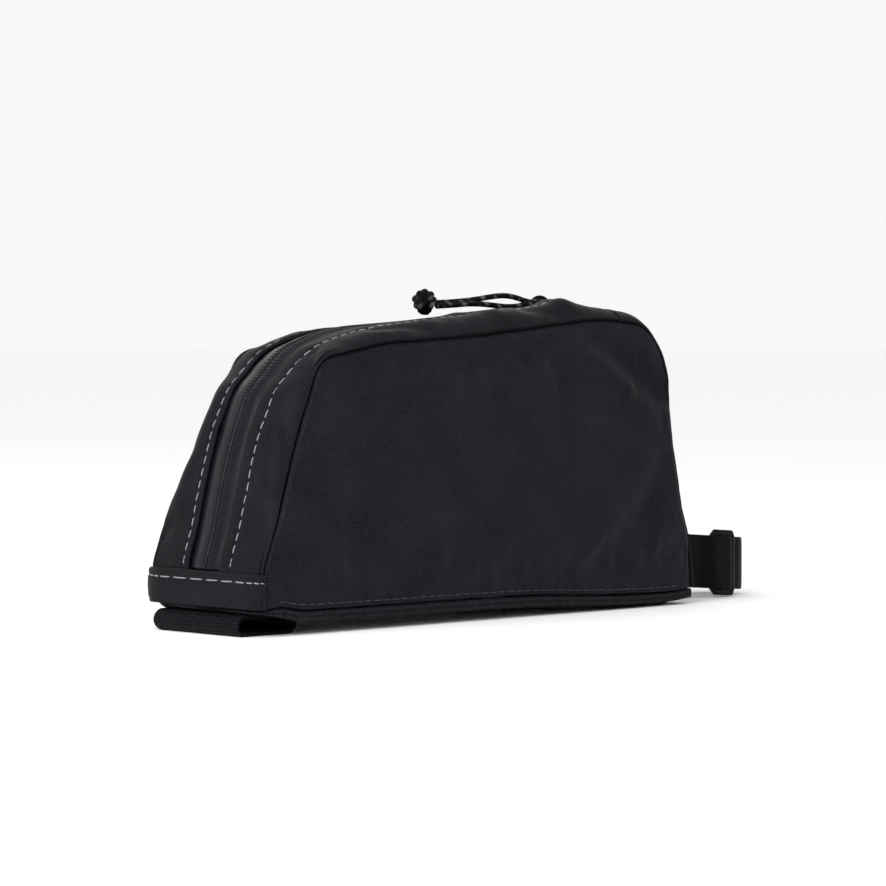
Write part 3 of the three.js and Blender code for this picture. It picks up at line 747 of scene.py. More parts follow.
def braided_cord(name, colour_value, fleck_value, fleck_step):
    """Braided polyester cord: fine slanting yarns, with paler tracer yarns that come up as
    soft flecks at even steps."""
    material, tree, surface = new_material(
        name, {"Roughness": 0.6, "Specular IOR Level": 0.05, "IOR": 1.5}
    )
    uv = add_node(tree, "ShaderNodeTexCoord").outputs["UV"]
    yarns, tracers = [], []
    for lean, step in ((38, fleck_step), (-38, 0.64 * fleck_step)):
        slant = add_node(
            tree, "ShaderNodeMapping", {"Vector": uv, "Rotation": (0, 0, math.radians(lean))}
        ).outputs["Vector"]
        for pitch, bands in ((0.8 * MM, yarns), (step, tracers)):
            band = add_node(
                tree,
                "ShaderNodeTexWave",
                {"Vector": slant, "Scale": stripes(pitch), "Distortion": 0.8, "Detail": 1},
            )
            bands.append(band.outputs["Fac"])
    braid, fleck = [
        add_node(tree, "ShaderNodeMath", {0: a, 1: b}, operation="MULTIPLY").outputs[0]
        for a, b in (yarns, tracers)
    ]
    patch = add_node(
        tree, "ShaderNodeTexNoise", {"Vector": uv, "Scale": 0.45 / fleck_step, "Detail": 1}
    ).outputs["Fac"]
    fleck = add_node(
        tree, "ShaderNodeMath", {0: fleck, 1: patch}, operation="MULTIPLY"
    ).outputs[0]
    ground = add_node(
        tree,
        "ShaderNodeMix",
        {0: braid, 6: scaled(colour_value, 0.4), 7: scaled(colour_value, 1.7)},
        data_type="RGBA",
    ).outputs[2]
    amount = add_node(
        tree,
        "ShaderNodeMapRange",
        {"Value": fleck, "From Min": 0.12, "From Max": 0.5, "To Max": 0.52},
    ).outputs["Result"]
    flecked = add_node(
        tree, "ShaderNodeMix", {0: amount, 6: ground, 7: list(fleck_value)}, data_type="RGBA"
    )
    tree.links.new(flecked.outputs[2], surface.inputs["Base Color"])
    bump = add_node(
        tree, "ShaderNodeBump", {"Height": braid, "Strength": 0.9, "Distance": 0.15 * MM}
    )
    tree.links.new(bump.outputs["Normal"], surface.inputs["Normal"])
    return material


def grained(name, colour_value, grain, relief, shader):
    """A moulded, cast or spun surface: one colour with a fine uneven grain."""
    material, tree, surface = new_material(name, shader)
    place = add_node(tree, "ShaderNodeTexCoord").outputs["Object"]
    speck = add_node(
        tree,
        "ShaderNodeTexNoise",
        {"Vector": place, "Scale": 1 / grain, "Detail": 3, "Roughness": 0.6},
    ).outputs["Fac"]
    coloured = add_node(
        tree,
        "ShaderNodeMix",
        {0: speck, 6: scaled(colour_value, 0.5), 7: scaled(colour_value, 1.5)},
        data_type="RGBA",
    )
    tree.links.new(coloured.outputs[2], surface.inputs["Base Color"])
    bump = add_node(tree, "ShaderNodeBump", {"Height": speck, "Strength": 0.4, "Distance": relief})
    tree.links.new(bump.outputs["Normal"], surface.inputs["Normal"])
    return material


def new_grid(columns, rows, place, flat, outward):
    """A grid whose points go where place(u, v) sends them. Its UV map holds the flat size in
    metres, and its faces look outwards."""
    bm = bmesh.new()
    layer = bm.loops.layers.uv.new("UVMap")
    bmesh.ops.create_grid(bm, x_segments=columns, y_segments=rows, size=0.5)
    for face in bm.faces:
        for loop in face.loops:
            spot = loop.vert.co
            loop[layer].uv = ((spot.x + 0.5) * flat[0], (spot.y + 0.5) * flat[1])
    for vert in bm.verts:
        vert.co = place(vert.co.x + 0.5, vert.co.y + 0.5)
    bm.normal_update()
    if outward is not None:
        facing = sum(face.normal.dot(outward) for face in bm.faces)
        if facing < 0:
            bmesh.ops.reverse_faces(bm, faces=bm.faces[:])
    return bm


def close_up(bm, caps=True):
    """Joins a rolled-up grid along its seam, closes its ends and points its faces out."""
    bmesh.ops.remove_doubles(bm, verts=bm.verts[:], dist=0.002 * MM)
    if caps:
        edges = [edge for edge in bm.edges if edge.is_boundary]
        bmesh.ops.holes_fill(bm, edges=edges)
    bmesh.ops.recalc_face_normals(bm, faces=bm.faces[:])
    return bm


def join_in(whole, part):
    """Adds one mesh in the making to another, and frees the first."""
    mesh = bpy.data.meshes.new("part")
    part.to_mesh(mesh)
    part.free()
    whole.from_mesh(mesh)
    bpy.data.meshes.remove(mesh)


def add_piece(name, bm, material, stands_for=(), sharp=None):
    """Makes the finished object: smooth, in place, riding on the bag's one body."""
    mesh = bpy.data.meshes.new(name)
    bm.to_mesh(mesh)
    bm.free()
    mesh.materials.append(material)
    for face in mesh.polygons:
        face.use_smooth = True
    if sharp is not None:
        mesh.set_sharp_from_angle(angle=math.radians(sharp))
    piece = bpy.data.objects.new(name, mesh)
    bpy.context.scene.collection.objects.link(piece)
    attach(piece, "root")
    if stands_for:
        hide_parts(*stands_for)
    return piece


def add_wall(piece, thickness):
    wall = piece.modifiers.new("Wall", "SOLIDIFY")
    wall.thickness = thickness
    wall.offset = -1


def frames_along(path):
    """A direction, a side and an up for each point of a path, turning as little as it can."""
    steady = []
    side = None
    for i, point in enumerate(path):
        ahead = path[min(i + 1, len(path) - 1)] - path[max(i - 1, 0)]
        ahead.normalize()
        if side is None:
            side = ahead.cross(Vector((0, 0, 1)))
            if side.length < 0.1:
                side = ahead.cross(Vector((0, 1, 0)))
        side = (side - ahead * side.dot(ahead)).normalized()
        steady.append((point, ahead, side, side.cross(ahead)))
    return steady


def tube(path, radius, sides=14, closed=False):
    """A round tube along a path, with its UV map in metres along and round it."""
    frames = frames_along(path)
    last = len(frames) - 1
    long = sum((b - a).length for a, b in zip(path, path[1:]))

    def place(u, v):
        point, _, side, up = frames[round(u * last)]
        angle = v * 2 * math.pi
        return point + radius * (side * math.cos(angle) + up * math.sin(angle))

    bm = new_grid(last, sides, place, (long, 2 * math.pi * radius), None)
    return close_up(bm, caps=not closed)


def smooth_route(points, per_span):
    """Points on a smooth curve through given points."""
    ends = [points[0] * 2 - points[1], *points, points[-1] * 2 - points[-2]]
    route = []
    for i in range(1, len(ends) - 2):
        knots = [0.0]
        for k in range(3):
            knots.append(knots[-1] + (ends[i + k] - ends[i + k - 1]).length ** 0.5)
        for step in range(per_span):
            t = mix(knots[1], knots[2], step / per_span)
            level = ends[i - 1 : i + 3]
            for depth in (1, 2, 3):
                nearer = []
                for k in range(4 - depth):
                    a, b = k, k + depth
                    if depth == 3:
                        a, b = 1, 2
                    elif depth == 2:
                        a, b = k, k + 2
                    share = (t - knots[a]) / (knots[b] - knots[a])
                    nearer.append(level[k].lerp(level[k + 1], share))
                level = nearer
            route.append(level[0])
    route.append(points[-1])
    return route


def even_path(corners, long, step):
    """Points at one distance from each other along a line through the corners, so that the
    weave laid along it keeps one scale."""
    count = math.ceil(long / step)
    points, walked, k = [corners[0]], 0, 0
    for i in range(1, count):
        goal = long * i / count
        while walked + (corners[k + 1] - corners[k]).length < goal:
            walked += (corners[k + 1] - corners[k]).length
            k += 1
        piece = (corners[k + 1] - corners[k]).length
        points.append(corners[k].lerp(corners[k + 1], (goal - walked) / piece))
    return points + [corners[-1]]


def add_stitch(bm, start, end, up, thickness):
    """One short arch of thread that dips into the cloth at both ends."""
    along = end - start
    half = along.length / 2
    along.normalize()
    side = up.cross(along).normalized()
    made = bmesh.ops.create_uvsphere(bm, u_segments=6, v_segments=5, radius=1)
    middle = (start + end) / 2
    for vert in made["verts"]:
        across, height, run = vert.co
        run = math.copysign(abs(run) ** 0.6, run)
        lift = thickness * 0.5 * height + thickness * 0.45 * (1 - 2 * run * run)
        vert.co = middle + along * run * half + side * across * thickness / 2 + up * lift


def add_stitch_row(bm, spot, start, end, trim, thickness):
    """A row of stitches from one distance to another along a line, where spot(distance)
    gives a place on the cloth and its outward direction."""
    count = max(int((end - start) / trim.stitch_pitch), 1)
    slack = (end - start - count * trim.stitch_pitch) / 2
    for i in range(count):
        at = start + slack + i * trim.stitch_pitch
        a, up = spot(at + (trim.stitch_pitch - trim.stitch_long) / 2)
        b, _ = spot(at + (trim.stitch_pitch + trim.stitch_long) / 2)
        wander = rumple(a.x, a.y, a.z, 3.1 * MM) * 0.22 * MM
        shift = up.cross(b - a).normalized() * wander
        add_stitch(bm, a + shift, b - shift, up, thickness)


def hole_near(distance, pitch):
    """1 where a needle hole lies on a row of stitches, 0 between the holes."""
    away = abs((distance / pitch) % 1 - 0.5)
    return bell(0.5 - away, 0.16)


def fold_depth(rows, wide, tall, x, z):
    """How deep the soft folds of a table are at a place in a panel's plane, where the table
    holds shares of the panel's width and height."""
    depth = 0
    for from_x, from_z, to_x, to_z, width, deep in rows:
        start = Vector((from_x * wide, from_z * tall))
        run = Vector((to_x * wide, to_z * tall)) - start
        here = Vector((x, z)) - start
        t = clamp(here.dot(run) / run.length_squared)
        depth += deep * MM * bell((here - run * t).length, width * MM)
    return depth


def strip_spot(body, side, share, across):
    """A point on the outside of a strip beside the zipper, with its folds and puckers."""
    if across > 1:
        return body.turned_in(share, (across - 1) * 50 * MM, side)
    inner = body.fold(side)
    line = body.zip.stitch_line
    flat_half = body.half_width(body.seam_point(share).y, side) - body.size.shoulder
    y = mix(inner, flat_half, min(across / 0.4, 1))
    along = share * body.seam_length
    down = across * 26 * MM
    hole = hole_near(along - body.strip_start * body.seam_length, body.trim.stitch_pitch)
    out = -(0.16 + 0.26 * hole) * MM * bell(y - line, 0.75 * MM)
    out += 0.3 * MM * rumple(along, side * 0.01, 0, 9 * MM) * bell(y - line, 3 * MM)
    out += 0.25 * MM * math.sin(math.pi * clamp((y - inner) / (line - inner)))
    out += 0.8 * MM * rumple(along, side * down, 0, 22 * MM, 3)
    out += 0.32 * MM * rumple(along, side * down, 0, 8 * MM, 8)
    out += 0.24 * MM * rumple(along, side * down * 0.2, 0, 5 * MM, 5) * smooth((across - 0.6) / 0.3)
    folds = fold_depth(STRIP_FOLDS[side], body.seam_length, 26 * MM, along, down)
    out -= folds * smooth((1 - across) / 0.1)
    edge = clamp((y - inner) / (1.2 * MM))
    out -= 0.9 * MM * (1 - math.sqrt(1 - (1 - edge) ** 2))
    out -= 1.3 * MM * smooth((across - 0.93) / 0.07)
    under_tall = (share - body.strip_end) * body.seam_length
    under_band = (body.strip_start - share) * body.seam_length
    out -= 2 * MM * smooth(0.15 + under_tall / (1.6 * MM)) * (under_tall > -0.24 * MM)
    out -= 1.1 * MM * smooth(under_band / (1.2 * MM))
    return body.wrap(share, across, side, out, inner, body.puff(share, side))


def strip_line(body, side):
    """The topstitching's place on a strip, as a function of the distance along the seam."""

    def spot(distance):
        share = distance / body.seam_length
        inner = body.fold(side)
        line = body.zip.stitch_line
        flat_half = body.half_width(body.seam_point(share).y, side) - body.size.shoulder
        across = 0.4 * (line - inner) / (flat_half - inner)
        return body.placed(strip_spot(body, side, share, across)), body.outward(share)

    return spot


def band_spot(body, up, across, side):
    """A point on the band across the low end: up runs from its foot to its folded edge."""
    height = up * body.trim.band
    from_fold = body.trim.band - height
    out = body.trim.band_proud + 0.35 * MM * math.sin(math.pi * up)
    out -= 0.75 * MM * (1 - math.sqrt(1 - (1 - clamp(from_fold / (1.1 * MM))) ** 2))
    out -= 0.28 * MM * bell(from_fold - 2.9 * MM, 0.7 * MM)
    y = side * across * body.size.base / 2
    out += 0.3 * MM * rumple(y, height, 0, 13 * MM, 2)
    out += 0.22 * MM * rumple(y, height * 0.3, 0, 5 * MM, 4) * bell(from_fold - 2.9 * MM, 3 * MM)
    out -= 1.1 * MM * smooth((across - 0.94) / 0.06)
    out += 0.5 * MM * bell(across - 0.9, 0.02)
    lift = 0.2 * smooth((across - 0.7) / 0.3) if side > 0 else 0
    return body.wrap(mix(lift, 1, up) * body.band_top, across, side, out)


def tall_spot(body, along, across, side):
    """A point on the plain panel over the tall end."""
    share = mix(PANEL_JOINT, 1, along)
    path = (share - PANEL_JOINT) * body.seam_length
    down = side * across * 28 * MM
    out = 0.5 * MM * rumple(path, down, 0, 27 * MM, 6)
    out += 0.15 * MM * rumple(path, down, 0, 8 * MM, 1)
    out += 0.22 * MM * rumple(path, down * 0.2, 0, 5 * MM, 9) * smooth((across - 0.6) / 0.3)
    out -= 0.8 * MM * (1 - math.sqrt(1 - (1 - clamp(path / (1.2 * MM))) ** 2))
    out -= 0.22 * MM * bell(path - 3 * MM, 0.7 * MM)
    out -= 1.3 * MM * smooth((across - 0.95) / 0.05)
    return body.wrap(share, across, side, out)


def panel_edge(body, share):
    here, outward = body.seam(share)
    return here - outward * body.size.gap


def panel_foot(body, t):
    x = mix(panel_edge(body, 0).x, panel_edge(body, 1).x, t)
    return Vector((x, body.foot(x)))


def panel_place(body, u, v):
    """A place in a side panel's plane, blended from its four edges."""
    place = panel_foot(body, u) * (1 - v)
    place += panel_edge(body, mix(FRONT_CORNER, REAR_CORNER, u)) * v
    place += panel_edge(body, mix(0, FRONT_CORNER, v)) * (1 - u)
    place += panel_edge(body, mix(1, REAR_CORNER, v)) * u
    place -= panel_foot(body, 0) * (1 - u) * (1 - v) + panel_foot(body, 1) * u * (1 - v)
    place -= panel_edge(body, FRONT_CORNER) * (1 - u) * v
    place -= panel_edge(body, REAR_CORNER) * u * v
    return place


def side_spot(body, u, v, side):
    """A point on the outside of a padded side panel, before it settles as cloth."""
    place = panel_place(body, u, v)
    from_edge = min(min(u, 1 - u) * 200 * MM, min(v, 1 - v) * 88 * MM)
    swell = (math.sin(math.pi * u) * math.sin(math.pi * v)) ** 0.55 if from_edge > 0 else 0
    out = body.size.fullness * swell
    folds = fold_depth(SIDE_FOLDS, body.size.long, body.size.high, place.x, place.y)
    out -= folds * smooth(from_edge / (5 * MM))
    out += 0.35 * MM * rumple(place.x, side * place.y, 0, 30 * MM, 4) * smooth(from_edge / (9 * MM))
    ripple = rumple(place.x + place.y * 0.3, side * 0.02, 0, 6.5 * MM, 7)
    out += 0.3 * MM * ripple * bell(from_edge - 3 * MM, 5 * MM)
    at_foot = v * 88 * MM <= from_edge
    out -= (0.5 if at_foot else 1.2) * MM * (1 - smooth(from_edge / (2 * MM)))
    foot_line = place.y - body.foot(place.x) - 1.9 * MM
    out -= 0.3 * MM * bell(foot_line, 0.7 * MM)
    return Vector((place.x, side * (body.half_width(place.y, side) + out), place.y))


def settle_cloth(piece, cap, frames=20):
    """Lets a sewn-down panel settle as cloth: its edge is held, slack in the cloth and a
    little air behind it swell it, and no point moves further than the cap."""
    scene = bpy.context.scene
    cloth = piece.modifiers.new("Settle", "CLOTH")
    cloth.settings.quality = 5
    cloth.settings.mass = 0.35
    cloth.settings.tension_stiffness = 18
    cloth.settings.compression_stiffness = 18
    cloth.settings.shear_stiffness = 8
    cloth.settings.bending_stiffness = 1.5
    cloth.settings.shrink_min = -0.012
    cloth.settings.use_pressure = True
    cloth.settings.uniform_pressure_force = 1.2
    cloth.settings.vertex_group_mass = "Sewn"
    cloth.settings.effector_weights.gravity = 0
    cloth.collision_settings.use_collision = False
    cloth.point_cache.frame_start = 1
    cloth.point_cache.frame_end = frames
    before = [vert.co.copy() for vert in piece.data.vertices]
    for number in range(1, frames + 1):
        scene.frame_set(number)
    settled = piece.evaluated_get(bpy.context.evaluated_depsgraph_get())
    after = [vert.co.copy() for vert in settled.data.vertices]
    piece.modifiers.remove(cloth)
    for vert, old, new in zip(piece.data.vertices, before, after):
        move = new - old
        if move.length > cap:
            move *= cap / move.length
        vert.co = old + move
    scene.frame_set(1)


def runner_place(body):
    """The zipper slider's foot, its direction along the zipper, its up, and its eye."""
    reach = body.zip.runner / 2 / body.seam_length
    back = body.crest(RUNNER_SHARE - reach, 0, -body.tape_depth)
    ahead = body.crest(RUNNER_SHARE + reach, 0, -body.tape_depth)
    along = (ahead - back).normalized()
    up = Vector((-along.z, 0, along.x))
    foot = body.placed(body.crest(RUNNER_SHARE, 0, body.size.gap - body.tape_depth))
    return foot, along, up, foot + up * (body.zip.runner_high + body.zip.eye_high / 2)


def cord_finish(colours):
    return braided_cord("braided_polyester_cord", colours.cord, colours.fleck, 5 * MM)


def shared_finish(name, make):
    """A material that several pieces share, made the first time it is asked for."""
    return bpy.data.materials.get(name) or make()


def side_finish(colours):
    return shared_finish(
        "coated_polyester_side_cloth",
        lambda: woven_cloth("coated_polyester_side_cloth", colours.side, 0.75 * MM, 0.12 * MM),
    )


def gusset_finish(colours):
    return shared_finish(
        "coated_polyester_strip_cloth",
        lambda: woven_cloth("coated_polyester_strip_cloth", colours.gusset, 0.6 * MM, 0.1 * MM),
    )


def webbing_finish(colours):
    return shared_finish(
        "polypropylene_webbing",
        lambda: ribbed_webbing(
            "polypropylene_webbing", colours.webbing, 1.4 * MM, 1.5 * MM, 0.5 * MM
        ),
    )


def thread_finish(name, colour_value):
    """Spun polyester sewing thread: soft twisted fibres, paler where they catch the light."""
    return shared_finish(
        name,
        lambda: grained(
            name,
            colour_value,
            0.5 * MM,
            0.1 * MM,
            {"Roughness": 0.65, "Specular IOR Level": 0.15, "IOR": 1.5},
        ),
    )


class BAG_OT_stage(bpy.types.Operator):
    """Lays the pale floor, sets the soft studio light and places the camera"""

    bl_idname = "bag.stage"
    bl_label = "Stage"

    def execute(self, context):
        scene = context.scene
        body = Body(scene)
        bm = bmesh.new()
        bmesh.ops.create_grid(bm, x_segments=1, y_segments=1, size=6)
        mesh = bpy.data.meshes.new("floor")
        bm.to_mesh(mesh)
        bm.free()
        floor = bpy.data.objects.new("floor", mesh)
        scene.collection.objects.link(floor)
        paper, _, surface = new_material(
            "seamless_white_paper", {"Roughness": 0.9, "Specular IOR Level": 0.1}
        )
        surface.inputs["Base Color"].default_value = scene.bag_colours.floor
        mesh.materials.append(paper)

        world = bpy.data.worlds.new("studio_room")
        scene.world = world
        world.use_nodes = True
        sky = world.node_tree.nodes["Background"]
        sky.inputs["Color"].default_value = (1, 1, 1, 1)
        sky.inputs["Strength"].default_value = ROOM_LIGHT

        centre = body.placed((105 * MM, 0, 50 * MM))
        for name, step, size, power in LAMPS:
            data = bpy.data.lights.new(name, "AREA")
            data.energy = power
            data.size = size
            lamp = bpy.data.objects.new(name, data)
            lamp.location = centre + Vector(step)
            lamp.rotation_euler = (-Vector(step)).to_track_quat("-Z", "Y").to_euler()
            scene.collection.objects.link(lamp)

        data = bpy.data.cameras.new("photo_camera")
        data.lens = LENS
        data.sensor_width = SENSOR
        data.clip_start = 0.05
        camera = bpy.data.objects.new("photo_camera", data)
        camera.location = body.placed([step * MM for step in CAMERA_PLACE])
        gaze = Vector((*CAMERA_WAY, -math.tan(math.radians(CAMERA_TILT))))
        camera.rotation_euler = gaze.to_track_quat("-Z", "Y").to_euler()
        scene.collection.objects.link(camera)
        scene.camera = camera
        scene.view_settings.view_transform = "Standard"
        return {"FINISHED"}


class BAG_OT_pull_cord(bpy.types.Operator):
    """Makes the doubled pull cord, from the slider's eye to its knot"""

    bl_idname = "bag.pull_cord"
    bl_label = "Pull cord"

    def execute(self, context):
        body = Body(context.scene)
        finish = cord_finish(context.scene.bag_colours)
        eye = runner_place(body)[3]
        centre = eye + Vector(KNOT_FROM_EYE) * MM
        knot = self.knot(body, centre, finish)
        for name, steps in (("upper", UPPER_STRAND), ("lower", LOWER_STRAND)):
            path = smooth_route([eye + Vector(step) * MM for step in steps], 12)
            bm = tube(path, body.zip.cord / 2)
            strand = add_piece(f"cord_{name}", bm, finish, [f"pull_cord_{name}"])
        return {"FINISHED"}

    def knot(self, body, centre, finish):
        """A barrel knot: the cord wound round itself on a slant, with one turn crossing over."""
        thick = body.zip.cord * 0.68
        waist = body.zip.knot / 2 - thick
        slope = math.radians(42)
        view_side = Vector((CAMERA_WAY[1], -CAMERA_WAY[0], 0))
        axis = view_side * math.cos(slope) - Vector((0, 0, math.sin(slope)))
        first = axis.cross(Vector((*CAMERA_WAY, 0))).normalized()
        second = axis.cross(first)
        turns, pitch = 2.9, 2.05 * MM
        centre = centre + Vector((0, 0, 0.6 * MM))
        winding = []
        for i in range(97):
            t = i / 96
            angle = (t - 0.5) * turns * 2 * math.pi
            out = waist * (1 - 2 * (t - 0.5) ** 2) * (1 + 0.05 * math.sin(2.6 * angle))
            along = (t - 0.5) * turns * pitch
            step = first * math.cos(angle) + second * math.sin(angle)
            winding.append(centre + axis * along + step * out)
        crossing = []
        for i in range(33):
            t = i / 32
            angle = mix(1.1, 3.4, t)
            out = (waist + 0.5 * MM) * math.sin(math.pi * mix(0.14, 0.86, t)) ** 0.8
            step = first * math.cos(angle) + second * math.sin(angle)
            crossing.append(centre + axis * mix(-3.2, 3.2, t) * MM + step * out)
        whole = bmesh.new()
        for path in (winding, crossing):
            join_in(whole, tube(path, thick, 12))
        core = bmesh.ops.create_uvsphere(
            whole, u_segments=20, v_segments=12, radius=body.zip.knot * 0.43
        )
        bmesh.ops.translate(whole, verts=core["verts"], vec=centre)
        return add_piece("cord_knot", whole, finish, ["pull_knot"])


class BAG_OT_side_panels(bpy.types.Operator):
    """Pads the two side panels and lets their cloth settle between the seams"""

    bl_idname = "bag.side_panels"
    bl_label = "Side panels"

    def execute(self, context):
        body = Body(context.scene)
        finish = side_finish(context.scene.bag_colours)
        for name, side in (("left", 1), ("right", -1)):

            def place(u, v):
                u = mix(u, (1 - math.cos(math.pi * u)) / 2, 0.6)
                v = mix(v, (1 - math.cos(math.pi * v)) / 2, 0.6)
                return body.placed(side_spot(body, u, v, side))

            bm = new_grid(120, 56, place, (1, 1), Vector((0, side, 0)))
            layer = bm.loops.layers.uv["UVMap"]
            for face in bm.faces:
                for loop in face.loops:
                    loop[layer].uv = (loop.vert.co.x, loop.vert.co.z)
            pad = add_piece(f"side_pad_{name}", bm, finish, [f"side_panel_{name}"])
            self.hold_edge(pad)
            settle_cloth(pad, 1.1 * MM)
            add_wall(pad, body.size.side_wall * 0.8)
            finer = pad.modifiers.new("Finer", "SUBSURF")
            finer.levels = finer.render_levels = 1
        return {"FINISHED"}

    def hold_edge(self, pad):
        """Marks how firmly the seams hold each point of the panel."""
        sewn = pad.vertex_groups.new(name="Sewn")
        mesh = pad.data
        edge = [k for k, count in self.face_counts(mesh).items() if count == 1]
        rim = [mesh.vertices[a].co for pair in edge for a in pair][::4]
        for vert in mesh.vertices:
            near = min((vert.co - spot).length_squared for spot in rim) ** 0.5
            sewn.add([vert.index], 1 - smooth((near - 4 * MM) / (6 * MM)), "REPLACE")

    def face_counts(self, mesh):
        counts = {}
        for face in mesh.polygons:
            for key in face.edge_keys:
                counts[key] = counts.get(key, 0) + 1
        return counts


class BAG_OT_gusset_strips(bpy.types.Operator):
    """Makes the strips each side of the zipper, with their folded edges and puckers"""

    bl_idname = "bag.gusset_strips"
    bl_label = "Strips beside the zipper"

    def execute(self, context):
        body = Body(context.scene)
        finish = gusset_finish(context.scene.bag_colours)
        from_share, to_share = body.strip_start - body.tuck, body.strip_end + body.tuck
        long = (to_share - from_share) * body.seam_length
        for name, side in (("left", 1), ("right", -1)):

            def place(u, v):
                share = mix(from_share, to_share, u)
                return body.placed(strip_spot(body, side, share, v * 1.06))

            bm = new_grid(400, 53, place, (long, 26 * MM), Vector((-0.5, side, 1)))
            strip = add_piece(
                f"zipper_strip_{name}", bm, finish, [f"gusset_strip_{name}"]
            )
            add_wall(strip, body.size.strip_wall)
        return {"FINISHED"}


def tape_bow(body, y):
    """How far the zipper's tape bows up between the strips' folds, and dips at the slit
    where its two halves meet."""
    across = clamp(abs(y) / (body.fold(1 if y > 0 else -1) + 0.8 * MM))
    slit = bell(y, 0.3 * MM)
    return 2.3 * MM * (1 - across ** 2.2) - 1.8 * MM * slit


class BAG_OT_zipper(bpy.types.Operator):
    """Makes the coated zipper tape and the two ribbed rows of its coil"""

    bl_idname = "bag.zipper"
    bl_label = "Zipper"

    def execute(self, context):
        body = Body(context.scene)
        colours = context.scene.bag_colours
        long = (body.strip_end - body.strip_start) * body.seam_length

        def place(u, v):
            share = mix(body.strip_start, body.strip_end, u)
            y = math.copysign(abs(2 * v - 1) ** 1.5, v - 0.5) * body.zip.tape / 2
            ridge = tape_bow(body, y)
            ridge += 0.12 * MM * rumple(share * body.seam_length, y, 0, 12 * MM)
            return body.placed(body.crest(share, y, ridge - body.tape_depth))

        bm = new_grid(340, 50, place, (long, body.zip.tape), Vector((-0.5, 0, 1)))
        finish = coated_tape("polyurethane_coated_tape", colours.tape)
        tape = add_piece("zipper_coated_tape", bm, finish, ["zipper_tape"])
        add_wall(tape, body.tape_depth * 0.35)

        teeth = bmesh.new()
        first = body.strip_start * body.seam_length
        last = (RUNNER_SHARE * body.seam_length) - body.zip.runner * 0.4
        count = int((last - first) / body.zip.tooth_pitch)
        for i in range(count):
            at = (first + (i + 0.5) * body.zip.tooth_pitch) / body.seam_length
            for row in (1, -1):
                self.add_tooth(teeth, body, at, row)
        nylon = grained(
            "polyester_zipper_coil",
            colours.tape,
            0.6 * MM,
            0.05 * MM,
            {"Roughness": 0.34, "Specular IOR Level": 0.08, "IOR": 1.5},
        )
        add_piece("zipper_coil_rows", teeth, nylon, ["zipper_coil"])
        return {"FINISHED"}

    def add_tooth(self, bm, body, share, row):
        """One turn of the coil: a short slanting rib across its row."""
        half = body.zip.coil * 0.16
        y = row * body.zip.coil * 0.22
        lift = tape_bow(body, y) - 0.22 * MM - body.tape_depth
        centre = body.placed(body.crest(share, y, lift))
        up = body.outward(share)
        along = Vector((up.z, 0, -up.x))
        across = Vector((0, 1, 0))
        made = bmesh.ops.create_uvsphere(bm, u_segments=6, v_segments=5, radius=1)
        for vert in made["verts"]:
            x, z, y = vert.co
            y = math.copysign(abs(y) ** 0.7, y)
            slant = row * y * 0.35 * MM
            fall = 0.3 * MM * row * y
            vert.co = centre + across * y * half
            vert.co += along * (x * body.zip.tooth_pitch * 0.5 + slant)
            vert.co += up * (z * 0.5 * MM - fall)


class BAG_OT_zipper_slider(bpy.types.Operator):
    """Makes the enamelled slider with the bridge that the cord goes through"""

    bl_idname = "bag.zipper_slider"
    bl_label = "Zipper slider"

    def execute(self, context):
        body = Body(context.scene)
        z = body.zip
        foot, along, up, _ = runner_place(body)
        turn = Matrix((along, (0, 1, 0), up)).transposed()
        bm = bmesh.new()
        plate = bmesh.ops.create_cube(bm, size=1)["verts"]
        for vert in plate:
            taper = 0.82 if vert.co.x < 0 else 1
            vert.co.x *= z.runner
            vert.co.y *= z.runner_wide * taper
            vert.co.z = (vert.co.z + 0.5) * z.runner_high
        bmesh.ops.bevel(
            bm,
            geom=bm.edges[:],
            offset=0.45 * MM,
            segments=3,
            profile=0.5,
            affect="EDGES",
            material=-1,
        )
        half = z.runner / 2 - 0.9 * MM
        high = z.runner_high + z.bridge_high
        wall = (high - z.runner_high - z.eye_high) / 2 + 0.1 * MM
        route = []
        for i in range(25):
            angle = math.pi * (1 - i / 24)
            rise = (high - wall - 0.6 * MM) * math.sin(angle) ** 0.7 + 0.6 * MM
            route.append(Vector((half * math.cos(angle), 0, rise)))
        frames = frames_along(route)

        def place(u, v):
            point, _, side, lift = frames[round(u * 24)]
            angle = v * 2 * math.pi
            wide, deep = math.cos(angle), math.sin(angle)
            wide = math.copysign(abs(wide) ** 0.6, wide) * z.bridge_wide / 2
            deep = math.copysign(abs(deep) ** 0.6, deep) * wall
            return point + side * wide + lift * deep

        join_in(bm, close_up(new_grid(24, 16, place, (z.runner, 6 * MM), None)))
        bmesh.ops.transform(bm, matrix=Matrix.Translation(foot) @ turn.to_4x4(), verts=bm.verts[:])
        enamel = grained(
            "black_enamelled_zinc",
            context.scene.bag_colours.metal,
            0.8 * MM,
            0.03 * MM,
            {"Roughness": 0.35, "Specular IOR Level": 0.04, "IOR": 1.5},
        )
        add_piece("zipper_slider_body", bm, enamel, ["zipper_slider"], 50)
        return {"FINISHED"}


